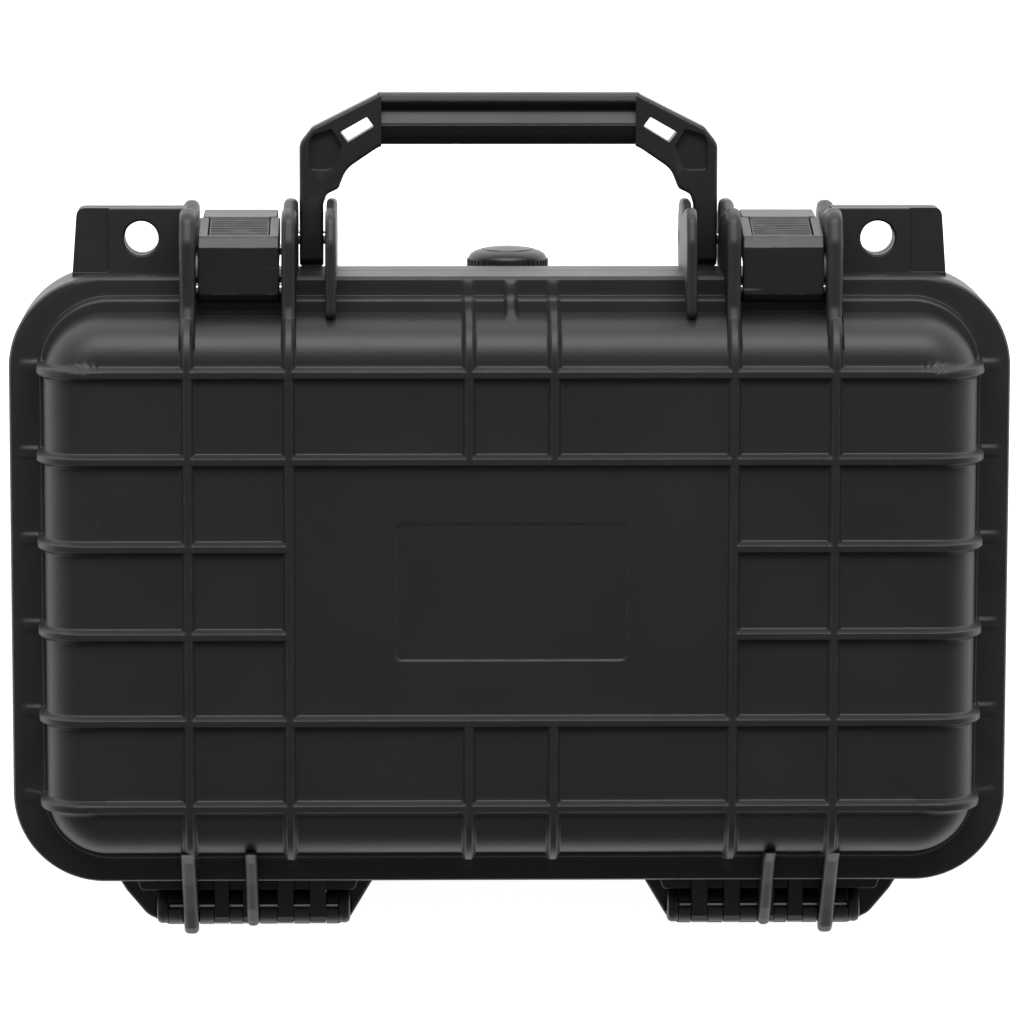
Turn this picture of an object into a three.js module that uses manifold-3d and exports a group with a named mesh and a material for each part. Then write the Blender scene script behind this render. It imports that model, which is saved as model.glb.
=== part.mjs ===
// Hard plastic toolbox with a lift-out tray: two ribbed shells on a pair of rear hinges, closed by two
// trigger latches, with a folding handle and a pressure valve at the front. Millimetres, +Z up, front at -Y.
// The origin is the middle of the underside. The lid is on top and the box lies on its base.
import * as THREE from 'three';
import { mergeVertices } from 'three/addons/utils/BufferGeometryUtils.js';
import Module from 'manifold-3d';

const wasm = await Module();
wasm.setup();

// Driving dimensions
const gap = 0.3; // left between pieces that touch
const rim = { halfX: 175, halfY: 107.5, corner: 32, baseLow: 88, parting: 104, lidHigh: 124, chamfer: 1.4 };
const body = { inset: 12.4, draft: 0.5, corner: 34, wall: 3, edge: 14.5, baseFace: 2.5, lidFace: 147.5 };
const shoulder = { foot: 7.4, crown: 8.2, shelf: 10.6, height: 3 };
const rib = { proud: 2.5, width: 4.2, skirtInset: 2, skirtHeight: 1.2, skirtRise: 9 };
const ribX = { outer: 112, inner: 77, middle: 14.75 };
const ribY = { outer: 76.2, middle: 45.9, inner: 15.4 };
const label = { halfX: 40, halfY: 24, corner: 2, depth: 0.5 };
const seal = { inner: 6, outer: 10, depth: 3.2, tongueHeight: 0.35 };
const ear = { outerWidth: 5.6, innerWidth: 5.1, handleWidth: 3.8, handleX: 62.5, tipY: -132, lidTop: 138 };
const plate = { fromX: 113, toX: 151.5, rootX: 153, tipY: -130, thick: 6, eyeX: 129, eyeY: -119.5, eyeRadius: 6 };
const hinge = { y: 120.5, radius: 6.5, pinRadius: 2.2, wideFrom: 49, wideTo: 137, narrowFrom: 60, narrowTo: 120,
    tipY: 127, webY: 111, block: 9 };
const lidKnuckles = [[110.4, 116.0], [99.6, 104.9], [88.9, 94.7], [76.7, 82.5], [65.2, 70.9]];
const cheeks = [[121.0, 125.4], [56.6, 61.0]];
const latch = { x: 94.4, width: 28.2, pivotY: -104, pivotZ: 129.5, pinRadius: 2, barrel: 4.8, borderX: 10.7 };
const trigger = { panelWidth: 20.8, lipWidth: 26, hookWidth: 24, pinY: -16.5, pinZ: -9, pinRadius: 1.25, ridges: 5 };
const catchBar = { x: 95.2, y: -114, z: 95, radius: 2, length: 39.4 };
const handle = { pivotY: -117, pivotZ: 82, pinRadius: 2.5, thick: 9.5, legIn: 65.6, legOut: 74, barDepth: 15 };
const valve = { z: 69, radius: 14.5, teeth: 24, faceY: -109.5, holeRadius: 7.3 };
const tray = { floor: 62, top: 99.5, inset: 19.3, lipInset: 17.4, lipDepth: 2.4, wall: 2, gripTop: 106 };
const divider = { spacing: 76, thick: 2, guide: 2 };
const post = { longX: 100, shortY: 50, half: 6, depth: 7, top: 61.7 };
const cornerSteps = 4;
const sliver = 0.03; // detail smaller than this is dropped

// A closed mesh as a solid for joining and cutting
function solidOf(geometry) {
    const bare = geometry.clone();
    bare.deleteAttribute('normal');
    bare.deleteAttribute('uv');
    const merged = mergeVertices(bare, 1e-4);
    const mesh = new wasm.Mesh({
        numProp: 3,
        vertProperties: new Float32Array(merged.attributes.position.array),
        triVerts: new Uint32Array(merged.index.array),
    });
    return new wasm.Manifold(mesh);
}

// A solid back as a flat-shaded geometry, with slivers and cuts across flat faces cleared away
function geometryOf(solid) {
    const mesh = solid.asOriginal().simplify(sliver).getMesh();
    const geometry = new THREE.BufferGeometry();
    const points = new Float32Array(mesh.vertProperties);
    geometry.setAttribute('position', new THREE.BufferAttribute(points, 3));
    geometry.setIndex(new THREE.BufferAttribute(new Uint32Array(mesh.triVerts), 1));
    const flat = geometry.toNonIndexed();
    flat.computeVertexNormals();
    return flat;
}

function join(solids) {
    return solids.reduce((whole, next) => whole.add(next));
}

function block(x0, x1, y0, y1, z0, z1) {
    const geometry = new THREE.BoxGeometry(x1 - x0, y1 - y0, z1 - z0);
    geometry.translate((x0 + x1) / 2, (y0 + y1) / 2, (z0 + z1) / 2);
    return solidOf(geometry);
}

// A round bar along X from x0 to x1 about the line through y, z
function rodX(x0, x1, y, z, radius, sides = 20) {
    const geometry = new THREE.CylinderGeometry(radius, radius, x1 - x0, sides);
    geometry.rotateZ(Math.PI / 2);
    geometry.translate((x0 + x1) / 2, y, z);
    return solidOf(geometry);
}

// An outline of [y, z] points carried along X from x0 to x1
function slabX(points, x0, x1) {
    const shape = new THREE.Shape(points.map(([y, z]) => new THREE.Vector2(y, z)));
    const geometry = new THREE.ExtrudeGeometry(shape, { depth: x1 - x0, bevelEnabled: false });
    const turn = new THREE.Matrix4().makeBasis(
        new THREE.Vector3(0, 1, 0),
        new THREE.Vector3(0, 0, 1),
        new THREE.Vector3(1, 0, 0),
    );
    geometry.applyMatrix4(turn);
    geometry.translate(x0, 0, 0);
    return solidOf(geometry);
}

// An outline of [x, y] points carried up from z0 to z1
function slabZ(points, z0, z1) {
    const shape = new THREE.Shape(points.map(([x, y]) => new THREE.Vector2(x, y)));
    const geometry = new THREE.ExtrudeGeometry(shape, { depth: z1 - z0, bevelEnabled: false });
    geometry.translate(0, 0, z0);
    return solidOf(geometry);
}

function roundedRectangle(halfX, halfY, corner) {
    const centres = [[1, 1], [-1, 1], [-1, -1], [1, -1]];
    const points = [];
    centres.forEach(([signX, signY], quarter) => {
        for (let step = 0; step <= cornerSteps; step += 1) {
            const angle = (quarter + step / cornerSteps) * Math.PI / 2;
            const x = signX * (halfX - corner) + corner * Math.cos(angle);
            const y = signY * (halfY - corner) + corner * Math.sin(angle);
            points.push([x, y]);
        }
    });
    return points;
}

// A solid through rounded rectangles stacked upwards, each { z, halfX, halfY, corner }
function stack(levels) {
    const rings = levels.map((level) => roundedRectangle(level.halfX, level.halfY, level.corner));
    const around = rings[0].length;
    const positions = [];
    rings.forEach((ring, row) => ring.forEach(([x, y]) => positions.push(x, y, levels[row].z)));
    const index = [];
    for (let row = 0; row + 1 < rings.length; row += 1) {
        for (let side = 0; side < around; side += 1) {
            const a = row * around + side;
            const b = row * around + (side + 1) % around;
            index.push(a, b, b + around, a, b + around, a + around);
        }
    }
    const last = (rings.length - 1) * around;
    for (let side = 1; side + 1 < around; side += 1) {
        index.push(0, side + 1, side);
        index.push(last, last + side, last + side + 1);
    }
    const geometry = new THREE.BufferGeometry();
    geometry.setAttribute('position', new THREE.Float32BufferAttribute(positions, 3));
    geometry.setIndex(index);
    return solidOf(geometry);
}

// One level of the box, set in from the rim's outline
function level(z, inset, cornerLine = body.corner) {
    const corner = Math.max(cornerLine - inset, 1);
    return { z, halfX: rim.halfX - inset, halfY: rim.halfY - inset, corner };
}

// Levels of a shell's wall from the rim to its face, with a rounded edge; grow is how far it stands out
function shellLevels(fromZ, faceZ, grow) {
    const steps = 4;
    const up = Math.sign(faceZ - fromZ);
    const edge = body.edge + grow;
    const wallInset = body.inset + body.draft - grow;
    const levels = [level(fromZ, body.inset - grow)];
    for (let step = 0; step <= steps; step += 1) {
        const angle = (step / steps) * Math.PI / 2;
        const inset = wallInset + edge * (1 - Math.cos(angle));
        levels.push(level(faceZ - up * edge * (1 - Math.sin(angle)), inset));
    }
    return up > 0 ? levels : levels.reverse();
}

// The outline that the ribs fill out to: the shell grown by their height, with a skirt onto the rim
function ribLevels(rimZ, faceZ) {
    const up = Math.sign(faceZ - rimZ);
    const grown = shellLevels(rimZ + up * rib.skirtRise, faceZ + up * rib.proud, rib.proud);
    const skirt = [
        level(rimZ - up, rib.skirtInset),
        level(rimZ + up * rib.skirtHeight, rib.skirtInset),
        level(rimZ + up * (rib.skirtHeight + shoulder.height), shoulder.shelf - rib.proud),
    ];
    return up > 0 ? [...skirt, ...grown] : [...grown, ...skirt.reverse()];
}

// The grid of slabs that cuts the ribs out of their outline; frontY is where the middle pair starts
function ribGrid(z0, z1, frontY) {
    const half = rib.width / 2;
    const farX = rim.halfX + 1;
    const farY = rim.halfY + 1;
    const slabs = [];
    for (const side of [-1, 1]) {
        for (const x of [ribX.outer, ribX.inner]) {
            slabs.push(block(side * x - half, side * x + half, -farY, farY, z0, z1));
        }
        const middle = side * ribX.middle;
        slabs.push(block(middle - half, middle + half, frontY, -ribY.middle, z0, z1));
        slabs.push(block(middle - half, middle + half, ribY.middle, farY, z0, z1));
        for (const y of [ribY.outer, ribY.middle]) {
            slabs.push(block(-farX, farX, side * y - half, side * y + half, z0, z1));
        }
        for (const end of [-1, 1]) {
            const near = Math.min(end * ribX.inner, end * farX);
            const far = Math.max(end * ribX.inner, end * farX);
            slabs.push(block(near, far, side * ribY.inner - half, side * ribY.inner + half, z0, z1));
        }
    }
    return join(slabs);
}

// A ring inside the rim, between two insets
function rimRing(innerInset, outerInset, z0, z1) {
    const outside = stack([level(z0, outerInset), level(z1, outerInset)]);
    const inside = stack([level(z0 - 1, innerInset), level(z1 + 1, innerInset)]);
    return outside.subtract(inside);
}

// The eyed plate for a padlock, on one side
function padlockPlate(side, z0, z1) {
    const outline = [
        [side * plate.fromX, -rim.halfY + 4],
        [side * plate.fromX, plate.tipY],
        [side * plate.toX, plate.tipY],
        [side * plate.rootX, -rim.halfY + 4],
    ];
    const eye = new THREE.CylinderGeometry(plate.eyeRadius, plate.eyeRadius, plate.thick * 3, 24);
    eye.rotateX(Math.PI / 2);
    eye.translate(side * plate.eyeX, plate.eyeY, (z0 + z1) / 2);
    return slabZ(side > 0 ? outline : outline.reverse(), z0, z1).subtract(solidOf(eye));
}

function lidEars() {
    const low = rim.parting + gap / 2;
    const outline = [
        [-94, low], [-94, 141], [-100, ear.lidTop], [-121, ear.lidTop], [-128, 133], [ear.tipY, 121],
        [ear.tipY, 107], [-130, low],
    ];
    const ears = [];
    for (const side of [-1, 1]) {
        const rows = [[ribX.outer, ear.outerWidth], [ribX.inner, ear.innerWidth], [ear.handleX, ear.handleWidth]];
        for (const [x, width] of rows) {
            ears.push(slabX(outline, side * x - width / 2, side * x + width / 2));
        }
    }
    return join(ears);
}

function baseEars() {
    const high = rim.parting - gap / 2;
    const latchEar = [
        [-94, high], [-130, high], [ear.tipY, 101], [ear.tipY, 93], [-127, 87], [-110, 84], [-94, 84],
    ];
    const handleEar = [
        [-94, high], [-130, high], [ear.tipY, 101], [ear.tipY, 92], [-124, 77], [-118, 74], [-112, 75], [-94, 82],
    ];
    const ears = [];
    for (const side of [-1, 1]) {
        ears.push(slabX(latchEar, side * ribX.outer - ear.outerWidth / 2, side * ribX.outer + ear.outerWidth / 2));
        ears.push(slabX(handleEar, side * ribX.inner - ear.innerWidth / 2, side * ribX.inner + ear.innerWidth / 2));
        const near = side * ear.handleX - ear.handleWidth / 2;
        ears.push(slabX(handleEar, near, near + ear.handleWidth));
    }
    return join(ears);
}

// The same interval on the left or right side, low end first
function onSide(side, [near, far]) {
    return side > 0 ? [near, far] : [-far, -near];
}

// The lid's half of both hinges: a plate along the rim, knuckles, and the ribs that run over the outer two
function lidHinges() {
    const low = rim.parting + gap / 2;
    const pieces = [];
    for (const side of [-1, 1]) {
        const [plateFrom, plateTo] = onSide(side, [hinge.wideFrom + 3, hinge.wideTo - 3]);
        pieces.push(block(plateFrom, plateTo, rim.halfY - 2, hinge.webY, low, low + hinge.radius));
        for (const interval of lidKnuckles) {
            const [from, to] = onSide(side, interval);
            pieces.push(rodX(from, to, hinge.y, rim.parting, hinge.radius));
            pieces.push(block(from, to, rim.halfY - 2, hinge.y, low, rim.parting + hinge.radius));
        }
        for (const x of [ribX.outer, 91]) {
            const foot = [[94, low], [hinge.y, low], [127.5, 105], [126.5, 109], [119, 116], [108, 126], [94, 140]];
            pieces.push(slabX(foot, side * x - 1.6, side * x + 1.6));
        }
    }
    return join(pieces);
}

// The base's half: a tapered block under the pin line, slotted for the lid's knuckles, with closed end cheeks
function baseHinges() {
    const high = rim.parting - gap / 2;
    const pieces = [];
    for (const side of [-1, 1]) {
        const outline = [
            [side * hinge.wideFrom, rim.halfY - 2],
            [side * hinge.wideTo, rim.halfY - 2],
            [side * hinge.narrowTo, hinge.tipY],
            [side * hinge.narrowFrom, hinge.tipY],
        ];
        let comb = slabZ(side > 0 ? outline : outline.reverse(), rim.parting - hinge.block, high);
        for (const interval of cheeks) {
            const [from, to] = onSide(side, interval);
            comb = comb.add(rodX(from, to, hinge.y, rim.parting, hinge.radius - 0.4));
        }
        for (const interval of lidKnuckles) {
            const [from, to] = onSide(side, interval);
            comb = comb.subtract(block(from - gap, to + gap, hinge.webY, 140, 80, 120));
        }
        pieces.push(comb);
    }
    return join(pieces);
}

// Holes for the hinge pins, through both shells' knuckles
function hingeBores() {
    const radius = hinge.pinRadius + gap;
    return join([-1, 1].map((side) => {
        const [from, to] = onSide(side, [hinge.wideFrom, hinge.wideTo]);
        return rodX(from, to, hinge.y, rim.parting, radius);
    }));
}

function bothSides(from, to, y, z, radius) {
    return join([-1, 1].map((side) => {
        const [low, high] = onSide(side, [from, to]);
        return rodX(low, high, y, z, radius);
    }));
}

function makeLidShell() {
    const low = rim.parting + gap / 2;
    const band = stack([
        level(low, 0, rim.corner),
        level(rim.lidHigh - rim.chamfer, 0, rim.corner),
        level(rim.lidHigh, rim.chamfer, rim.corner),
    ]);
    const step = stack([
        level(rim.lidHigh - 2, shoulder.foot),
        level(rim.lidHigh + shoulder.height - 0.6, shoulder.crown),
        level(rim.lidHigh + shoulder.height, shoulder.shelf),
    ]);
    const outside = stack(shellLevels(low + 1, body.lidFace, 0));
    const ribs = stack(ribLevels(rim.lidHigh, body.lidFace)).intersect(ribGrid(100, 160, -rim.halfY - 1));
    let shell = join([band, step, outside, ribs, lidEars(), lidHinges()]);
    for (const side of [-1, 1]) {
        shell = shell.add(padlockPlate(side, low, low + plate.thick));
    }
    const hollow = stack(shellLevels(low - 2, body.lidFace - body.wall, -body.wall));
    shell = shell.subtract(hollow);
    shell = shell.subtract(rimRing(seal.outer, seal.inner, low - 1, low + seal.depth));
    const recess = roundedRectangle(label.halfX, label.halfY, label.corner);
    shell = shell.subtract(slabZ(recess, body.lidFace - label.depth, body.lidFace + 1));
    shell = shell.subtract(hingeBores());
    return shell.subtract(bothSides(75.2, 116, latch.pivotY, latch.pivotZ, latch.pinRadius + gap));
}

function makeBaseShell() {
    const high = rim.parting - gap / 2;
    const band = stack([
        level(rim.baseLow, rim.chamfer, rim.corner),
        level(rim.baseLow + rim.chamfer, 0, rim.corner),
        level(high, 0, rim.corner),
    ]);
    const outside = stack(shellLevels(high - 1, body.baseFace, 0));
    const ribs = stack(ribLevels(rim.baseLow, body.baseFace)).intersect(ribGrid(-5, high - 1, -88));
    const pad = slabZ(roundedRectangle(label.halfX, label.halfY, label.corner), 0, body.baseFace + 1);
    let shell = join([band, outside, ribs, pad, baseEars(), baseHinges()]);
    for (const side of [-1, 1]) {
        shell = shell.add(padlockPlate(side, high - plate.thick, high));
    }
    shell = shell.add(rimRing(seal.outer - 1.1, seal.inner + 1.1, high - 1, high + seal.tongueHeight));
    shell = shell.subtract(stack(shellLevels(high + 2, body.baseFace + body.wall, -body.wall)));
    shell = shell.add(trayPosts());
    shell = shell.subtract(hingeBores());
    shell = shell.subtract(bothSides(75.2, 116, catchBar.y, catchBar.z, catchBar.radius + gap));
    shell = shell.subtract(bothSides(60, 80, handle.pivotY, handle.pivotZ, handle.pinRadius + gap));
    const wallY = -rim.halfY + body.inset;
    return shell.subtract(ringAboutY(0, valve.holeRadius, wallY - 6, wallY + 6).translate([0, 0, valve.z]));
}

// Posts moulded on the inside of the base, which the tray rests on
function trayPosts() {
    const wallX = rim.halfX - body.inset - body.wall + 1;
    const wallY = rim.halfY - body.inset - body.wall + 1;
    const posts = [];
    for (const side of [-1, 1]) {
        for (const end of [-1, 1]) {
            const longX = end * post.longX;
            const [nearY, farY] = onSide(side, [wallY - post.depth - 1, wallY]);
            posts.push(block(longX - post.half, longX + post.half, nearY, farY, 12, post.top));
            const shortY = end * post.shortY;
            const [nearX, farX] = onSide(side, [wallX - post.depth - 1, wallX]);
            posts.push(block(nearX, farX, shortY - post.half, shortY + post.half, 12, post.top));
        }
    }
    return join(posts);
}

function makeLidSeal() {
    const low = rim.parting + gap / 2 + 0.5;
    return rimRing(seal.outer - gap, seal.inner + gap, low, rim.parting + seal.depth - gap);
}

// Latch body about its pivot: a top plate round the pin, and two side borders that carry the trigger
function makeLatchBody() {
    const half = latch.width / 2;
    const top = [
        [4.8, 0], [4.6, 1.4], [3.6, 3.2], [1.5, 5.1], [-13.9, 5.5], [-17.4, 3.2], [-17.7, 1.7], [-4.5, 1.7],
    ];
    const border = [
        [-13.9, 5.5], [-17.4, 3.2], [-22, -19.5], [-17.5, -20.2], [-11.5, -13], [-9, 1.7],
    ];
    let solid = slabX(top, -half, half);
    solid = solid.add(rodX(-half, half, 0, 0, latch.barrel));
    for (const side of [-1, 1]) {
        const [from, to] = onSide(side, [latch.borderX, half]);
        solid = solid.add(slabX(border, from, to));
    }
    solid = solid.subtract(rodX(-half - 1, half + 1, 0, 0, latch.pinRadius + gap));
    return solid.subtract(rodX(-13.4, 13.4, trigger.pinY, trigger.pinZ, trigger.pinRadius + gap, 12));
}

// Trigger about the latch's pivot: ridged thumb panel, pull lip and the hook that holds the catch bar
function makeTrigger() {
    const panel = [[-17.7, 0.9], [-22, -19.5], [-22.1, -22], [-18.6, -22], [-15.2, -4], [-14.6, 0.9]];
    const lip = [[-22.07, -21.4], [-23, -38.5], [-22, -40.6], [-19.8, -40.6], [-19.4, -38.5], [-18.6, -21.4]];
    const hook = [[-21, -37.2], [-21, -40.6], [-9.2, -40.6], [-8.3, -38.2], [-18, -38.2]];
    let solid = slabX(panel, -trigger.panelWidth / 2, trigger.panelWidth / 2);
    solid = solid.add(slabX(lip, -trigger.lipWidth / 2, trigger.lipWidth / 2));
    solid = solid.add(slabX(hook, -trigger.hookWidth / 2, trigger.hookWidth / 2));
    solid = solid.add(rodX(-9.8, 9.8, trigger.pinY, trigger.pinZ, 3, 16));
    const half = trigger.panelWidth / 2 - 1;
    for (let ridge = 0; ridge < trigger.ridges; ridge += 1) {
        const along = (ridge + 0.7) / trigger.ridges;
        const y = -17.7 - 4.3 * along;
        const z = 0.9 - 20.4 * along;
        solid = solid.add(rodX(-half, half, y, z, 0.9, 8));
    }
    return solid.subtract(rodX(-12, 12, trigger.pinY, trigger.pinZ, trigger.pinRadius + gap, 12));
}

// Flat spring hooked under the latch's top plate, behind the thumb panel
function makeTriggerSpring() {
    const strip = [[-5.5, 1.35], [-12.6, 1.35], [-13, -5], [-12.5, -5], [-12.1, 0.85], [-5.5, 0.85]];
    return slabX(strip, -4, 4);
}

// Handle in the plane of its pivots: two legs with rounded heels, cut-away corners with a slanted window, a bar
function makeHandle() {
    const outer = [
        [handle.legOut, -109.5], [handle.legOut, -151], [70, -156], [45.4, -168.4],
    ];
    const inner = [
        [44.6, -150.3], [59.5, -137.4], [handle.legIn, -133.4], [handle.legIn, -109.5],
    ];
    const mirror = ([x, y]) => [-x, y];
    const outline = [
        ...outer,
        ...[...outer].reverse().map(mirror),
        ...[...inner].reverse().map(mirror),
        ...inner,
    ];
    const low = handle.pivotZ - handle.thick / 2;
    const high = handle.pivotZ + handle.thick / 2;
    let solid = slabZ(outline.reverse(), low, high);
    const grip = [];
    const gripHalf = { y: 9, z: handle.barDepth / 2 };
    for (let step = 0; step < 12; step += 1) {
        const angle = (step / 12) * Math.PI * 2;
        const squareness = 0.6;
        const y = Math.sign(Math.cos(angle)) * Math.abs(Math.cos(angle)) ** squareness * gripHalf.y;
        const z = Math.sign(Math.sin(angle)) * Math.abs(Math.sin(angle)) ** squareness * gripHalf.z;
        grip.push([-159.3 + y, handle.pivotZ + z]);
    }
    solid = solid.add(slabX(grip, -47, 47));
    for (const side of [-1, 1]) {
        const window = [
            [side * 59.6, -154.8], [side * 50.1, -160.6], [side * 47.5, -157], [side * 56.6, -151],
        ];
        solid = solid.subtract(slabZ(side > 0 ? window.reverse() : window, low - 9, high + 9));
        const [from, to] = onSide(side, [handle.legIn, handle.legOut]);
        solid = solid.add(rodX(from, to, -111.6, handle.pivotZ, handle.thick / 2, 16));
        solid = solid.subtract(rodX(from - 1, to + 1, handle.pivotY, handle.pivotZ, handle.pinRadius + gap));
    }
    return solid;
}

// Valve knob about the valve's axis, which runs out along +Y of its own frame
function makeValveKnob() {
    const profile = [
        [0, 14], [5, 13.8], [10.5, 12.9], [13.2, 11.4], [valve.radius, 9.5], [valve.radius, 2],
        [12.4, 2], [12.4, 10], [0, 10],
    ];
    const points = profile.map(([radius, height]) => new THREE.Vector2(radius, height));
    const geometry = new THREE.LatheGeometry(points.reverse(), valve.teeth * 2);
    const position = geometry.attributes.position;
    for (let vertex = 0; vertex < position.count; vertex += 1) {
        const x = position.getX(vertex);
        const z = position.getZ(vertex);
        const turn = Math.round(Math.atan2(z, x) / (Math.PI / valve.teeth));
        if (Math.hypot(x, z) > valve.radius - 0.1 && Math.abs(turn % 2) === 1) {
            const shrink = 1 - 0.8 / valve.radius;
            position.setX(vertex, x * shrink);
            position.setZ(vertex, z * shrink);
        }
    }
    return solidOf(geometry);
}

// A ring, or with no inner radius a disc, about the Y axis
function ringAboutY(innerRadius, outerRadius, from, to, sides = 24) {
    const profile = [
        new THREE.Vector2(innerRadius, from),
        new THREE.Vector2(outerRadius, from),
        new THREE.Vector2(outerRadius, to),
        new THREE.Vector2(innerRadius, to),
        new THREE.Vector2(innerRadius, from),
    ];
    return solidOf(new THREE.LatheGeometry(profile, sides));
}

function makeTray() {
    const outside = stack([
        level(tray.floor, tray.inset + 3),
        level(tray.floor + 4, tray.inset),
        level(tray.top, tray.inset),
    ]);
    const lip = stack([level(tray.top - tray.lipDepth, tray.lipInset), level(tray.top, tray.lipInset)]);
    let solid = outside.add(lip);
    const insideX = rim.halfX - tray.inset - tray.wall;
    const insideY = rim.halfY - tray.inset - tray.wall;
    const middle = 1.5;
    for (const side of [-1, 1]) {
        const halfY = (insideY - middle) / 2;
        const well = [tray.floor + tray.wall, tray.top + 1].map((z) => (
            { z, halfX: insideX, halfY, corner: 8 }
        ));
        solid = solid.subtract(stack(well).translate([0, side * (middle + halfY), 0]));
    }
    solid = solid.add(block(-45, 45, -middle, middle, tray.floor + 5, tray.gripTop));
    solid = solid.subtract(block(-34, 34, -5, 5, tray.top - 13, tray.gripTop - 4));
    for (const step of [-1, 0, 1]) {
        for (const edge of [-1, 1]) {
            const x = step * divider.spacing + edge * (divider.thick / 2 + gap + divider.guide / 2);
            const [low, high] = [x - divider.guide / 2, x + divider.guide / 2];
            const floor = tray.floor + 1;
            solid = solid.add(block(low, high, 0.5, middle + divider.guide, floor, tray.top - 16));
            solid = solid.add(block(low, high, insideY - divider.guide, insideY + 0.5, floor, tray.top - 3));
        }
    }
    return solid;
}

function makeDivider() {
    const insideY = rim.halfY - tray.inset - tray.wall;
    const half = divider.thick / 2;
    const low = tray.floor + tray.wall + gap;
    return block(-half, half, 1.5 + gap, insideY - gap, low, tray.top - 16 - gap);
}

function plastic(color, roughness) {
    return new THREE.MeshStandardMaterial({ color, roughness, metalness: 0 });
}

function steel() {
    return new THREE.MeshStandardMaterial({ color: 0xc8c9cb, roughness: 0.22, metalness: 1 });
}

function piece(name, solid, material, parent) {
    const mesh = new THREE.Mesh(geometryOf(solid), material);
    mesh.name = name;
    parent.add(mesh);
    return mesh;
}

// A steel pin along X, centred at x, y, z in its parent
function pin(name, length, radius, x, y, z, parent, sides = 16) {
    const mesh = new THREE.Mesh(new THREE.CylinderGeometry(radius, radius, length, sides), steel());
    mesh.name = name;
    mesh.rotation.z = Math.PI / 2;
    mesh.position.set(x, y, z);
    parent.add(mesh);
    return mesh;
}

function addLatch(toolbox, side, word) {
    const group = new THREE.Group();
    group.position.set(side * latch.x, latch.pivotY, latch.pivotZ);
    toolbox.add(group);
    piece(`latch_body_${word}`, makeLatchBody(), plastic(0x17181a, 0.4), group);
    piece(`latch_trigger_${word}`, makeTrigger(), plastic(0x17181a, 0.42), group);
    piece(`trigger_spring_${word}`, makeTriggerSpring(), steel(), group);
    pin(`trigger_pin_${word}`, 26.2, trigger.pinRadius, 0, trigger.pinY, trigger.pinZ, group, 10);
    const pinX = side * (catchBar.x - latch.x);
    pin(`latch_pin_${word}`, catchBar.length, latch.pinRadius, pinX, 0, 0, group);
    pin(`catch_bar_${word}`, catchBar.length, catchBar.radius, side * catchBar.x, catchBar.y, catchBar.z, toolbox);
}

function addValve(toolbox) {
    const group = new THREE.Group();
    group.position.set(0, -rim.halfY + body.inset, valve.z);
    group.rotation.x = Math.PI;
    toolbox.add(group);
    const barrel = ringAboutY(4.5, 7, -6.1, 9.2);
    const flange = ringAboutY(4.5, 11.8, 1.9, 3.6);
    piece('valve_body', barrel.add(flange), plastic(0x1c1d1f, 0.5), group);
    piece('valve_seal_ring', ringAboutY(7.4, 10.5, gap, 1.6), plastic(0x2a2a2a, 0.8), group);
    const hexagon = new THREE.CylinderGeometry(11.5, 11.5, 2.3, 6);
    hexagon.translate(0, -4.75, 0);
    const nut = solidOf(hexagon).subtract(ringAboutY(0, valve.holeRadius, -9, 0));
    piece('valve_nut', nut, plastic(0x1c1d1f, 0.5), group);
    piece('valve_membrane', ringAboutY(0.6, 4.2, 1, 1.5, 16), plastic(0xd8d8d4, 0.7), group);
    piece('valve_knob', makeValveKnob(), plastic(0x1a1b1d, 0.38), group);
}

function makeToolbox() {
    const toolbox = new THREE.Group();
    piece('base_shell', makeBaseShell(), plastic(0x1b1c1e, 0.55), toolbox);
    piece('lid_shell', makeLidShell(), plastic(0x1b1c1e, 0.55), toolbox);
    piece('lid_seal', makeLidSeal(), plastic(0x262626, 0.85), toolbox);
    for (const [side, word] of [[-1, 'right'], [1, 'left']]) {
        addLatch(toolbox, side, word);
        pin(`hinge_pin_${word}`, 68, hinge.pinRadius, side * 91, hinge.y, rim.parting, toolbox);
        pin(`handle_pin_${word}`, 17, handle.pinRadius, side * 69.5, handle.pivotY, handle.pivotZ, toolbox);
    }
    piece('handle', makeHandle(), plastic(0x1a1b1d, 0.45), toolbox);
    addValve(toolbox);
    const tools = new THREE.Group();
    toolbox.add(tools);
    piece('tray', makeTray(), plastic(0x2b2d30, 0.5), tools);
    [-1, 0, 1].forEach((step, number) => {
        const plateMesh = piece(`tray_divider_${number + 1}`, makeDivider(), plastic(0x2b2d30, 0.5), tools);
        plateMesh.position.x = step * divider.spacing;
    });
    return toolbox;
}

export default makeToolbox();
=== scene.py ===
import math

import bmesh
import bpy
from mathutils import Matrix, Vector


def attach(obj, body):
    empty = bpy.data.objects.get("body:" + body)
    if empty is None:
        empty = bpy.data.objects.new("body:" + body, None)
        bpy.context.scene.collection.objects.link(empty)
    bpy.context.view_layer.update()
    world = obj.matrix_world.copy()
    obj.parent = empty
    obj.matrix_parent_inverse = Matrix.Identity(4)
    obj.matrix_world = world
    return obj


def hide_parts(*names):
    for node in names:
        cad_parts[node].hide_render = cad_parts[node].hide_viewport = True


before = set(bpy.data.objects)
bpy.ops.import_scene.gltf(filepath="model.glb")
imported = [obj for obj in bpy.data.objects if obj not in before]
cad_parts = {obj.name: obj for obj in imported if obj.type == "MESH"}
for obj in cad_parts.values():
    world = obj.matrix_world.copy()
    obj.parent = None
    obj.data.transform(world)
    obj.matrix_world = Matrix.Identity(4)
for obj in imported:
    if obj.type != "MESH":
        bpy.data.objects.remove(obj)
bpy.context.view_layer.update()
mm = 0.001

bpy.context.scene.view_settings.view_transform = "Standard"

# where the camera stands: leant from the lid's normal towards the handle, and a little to the left
cameraSetup = {"aim": (-0.6, -24.6, 124.0), "distance": 2000.0, "leanToHandle": 8.7, "leanToSide": 1.2,
               "lens": 200.7}


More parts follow.
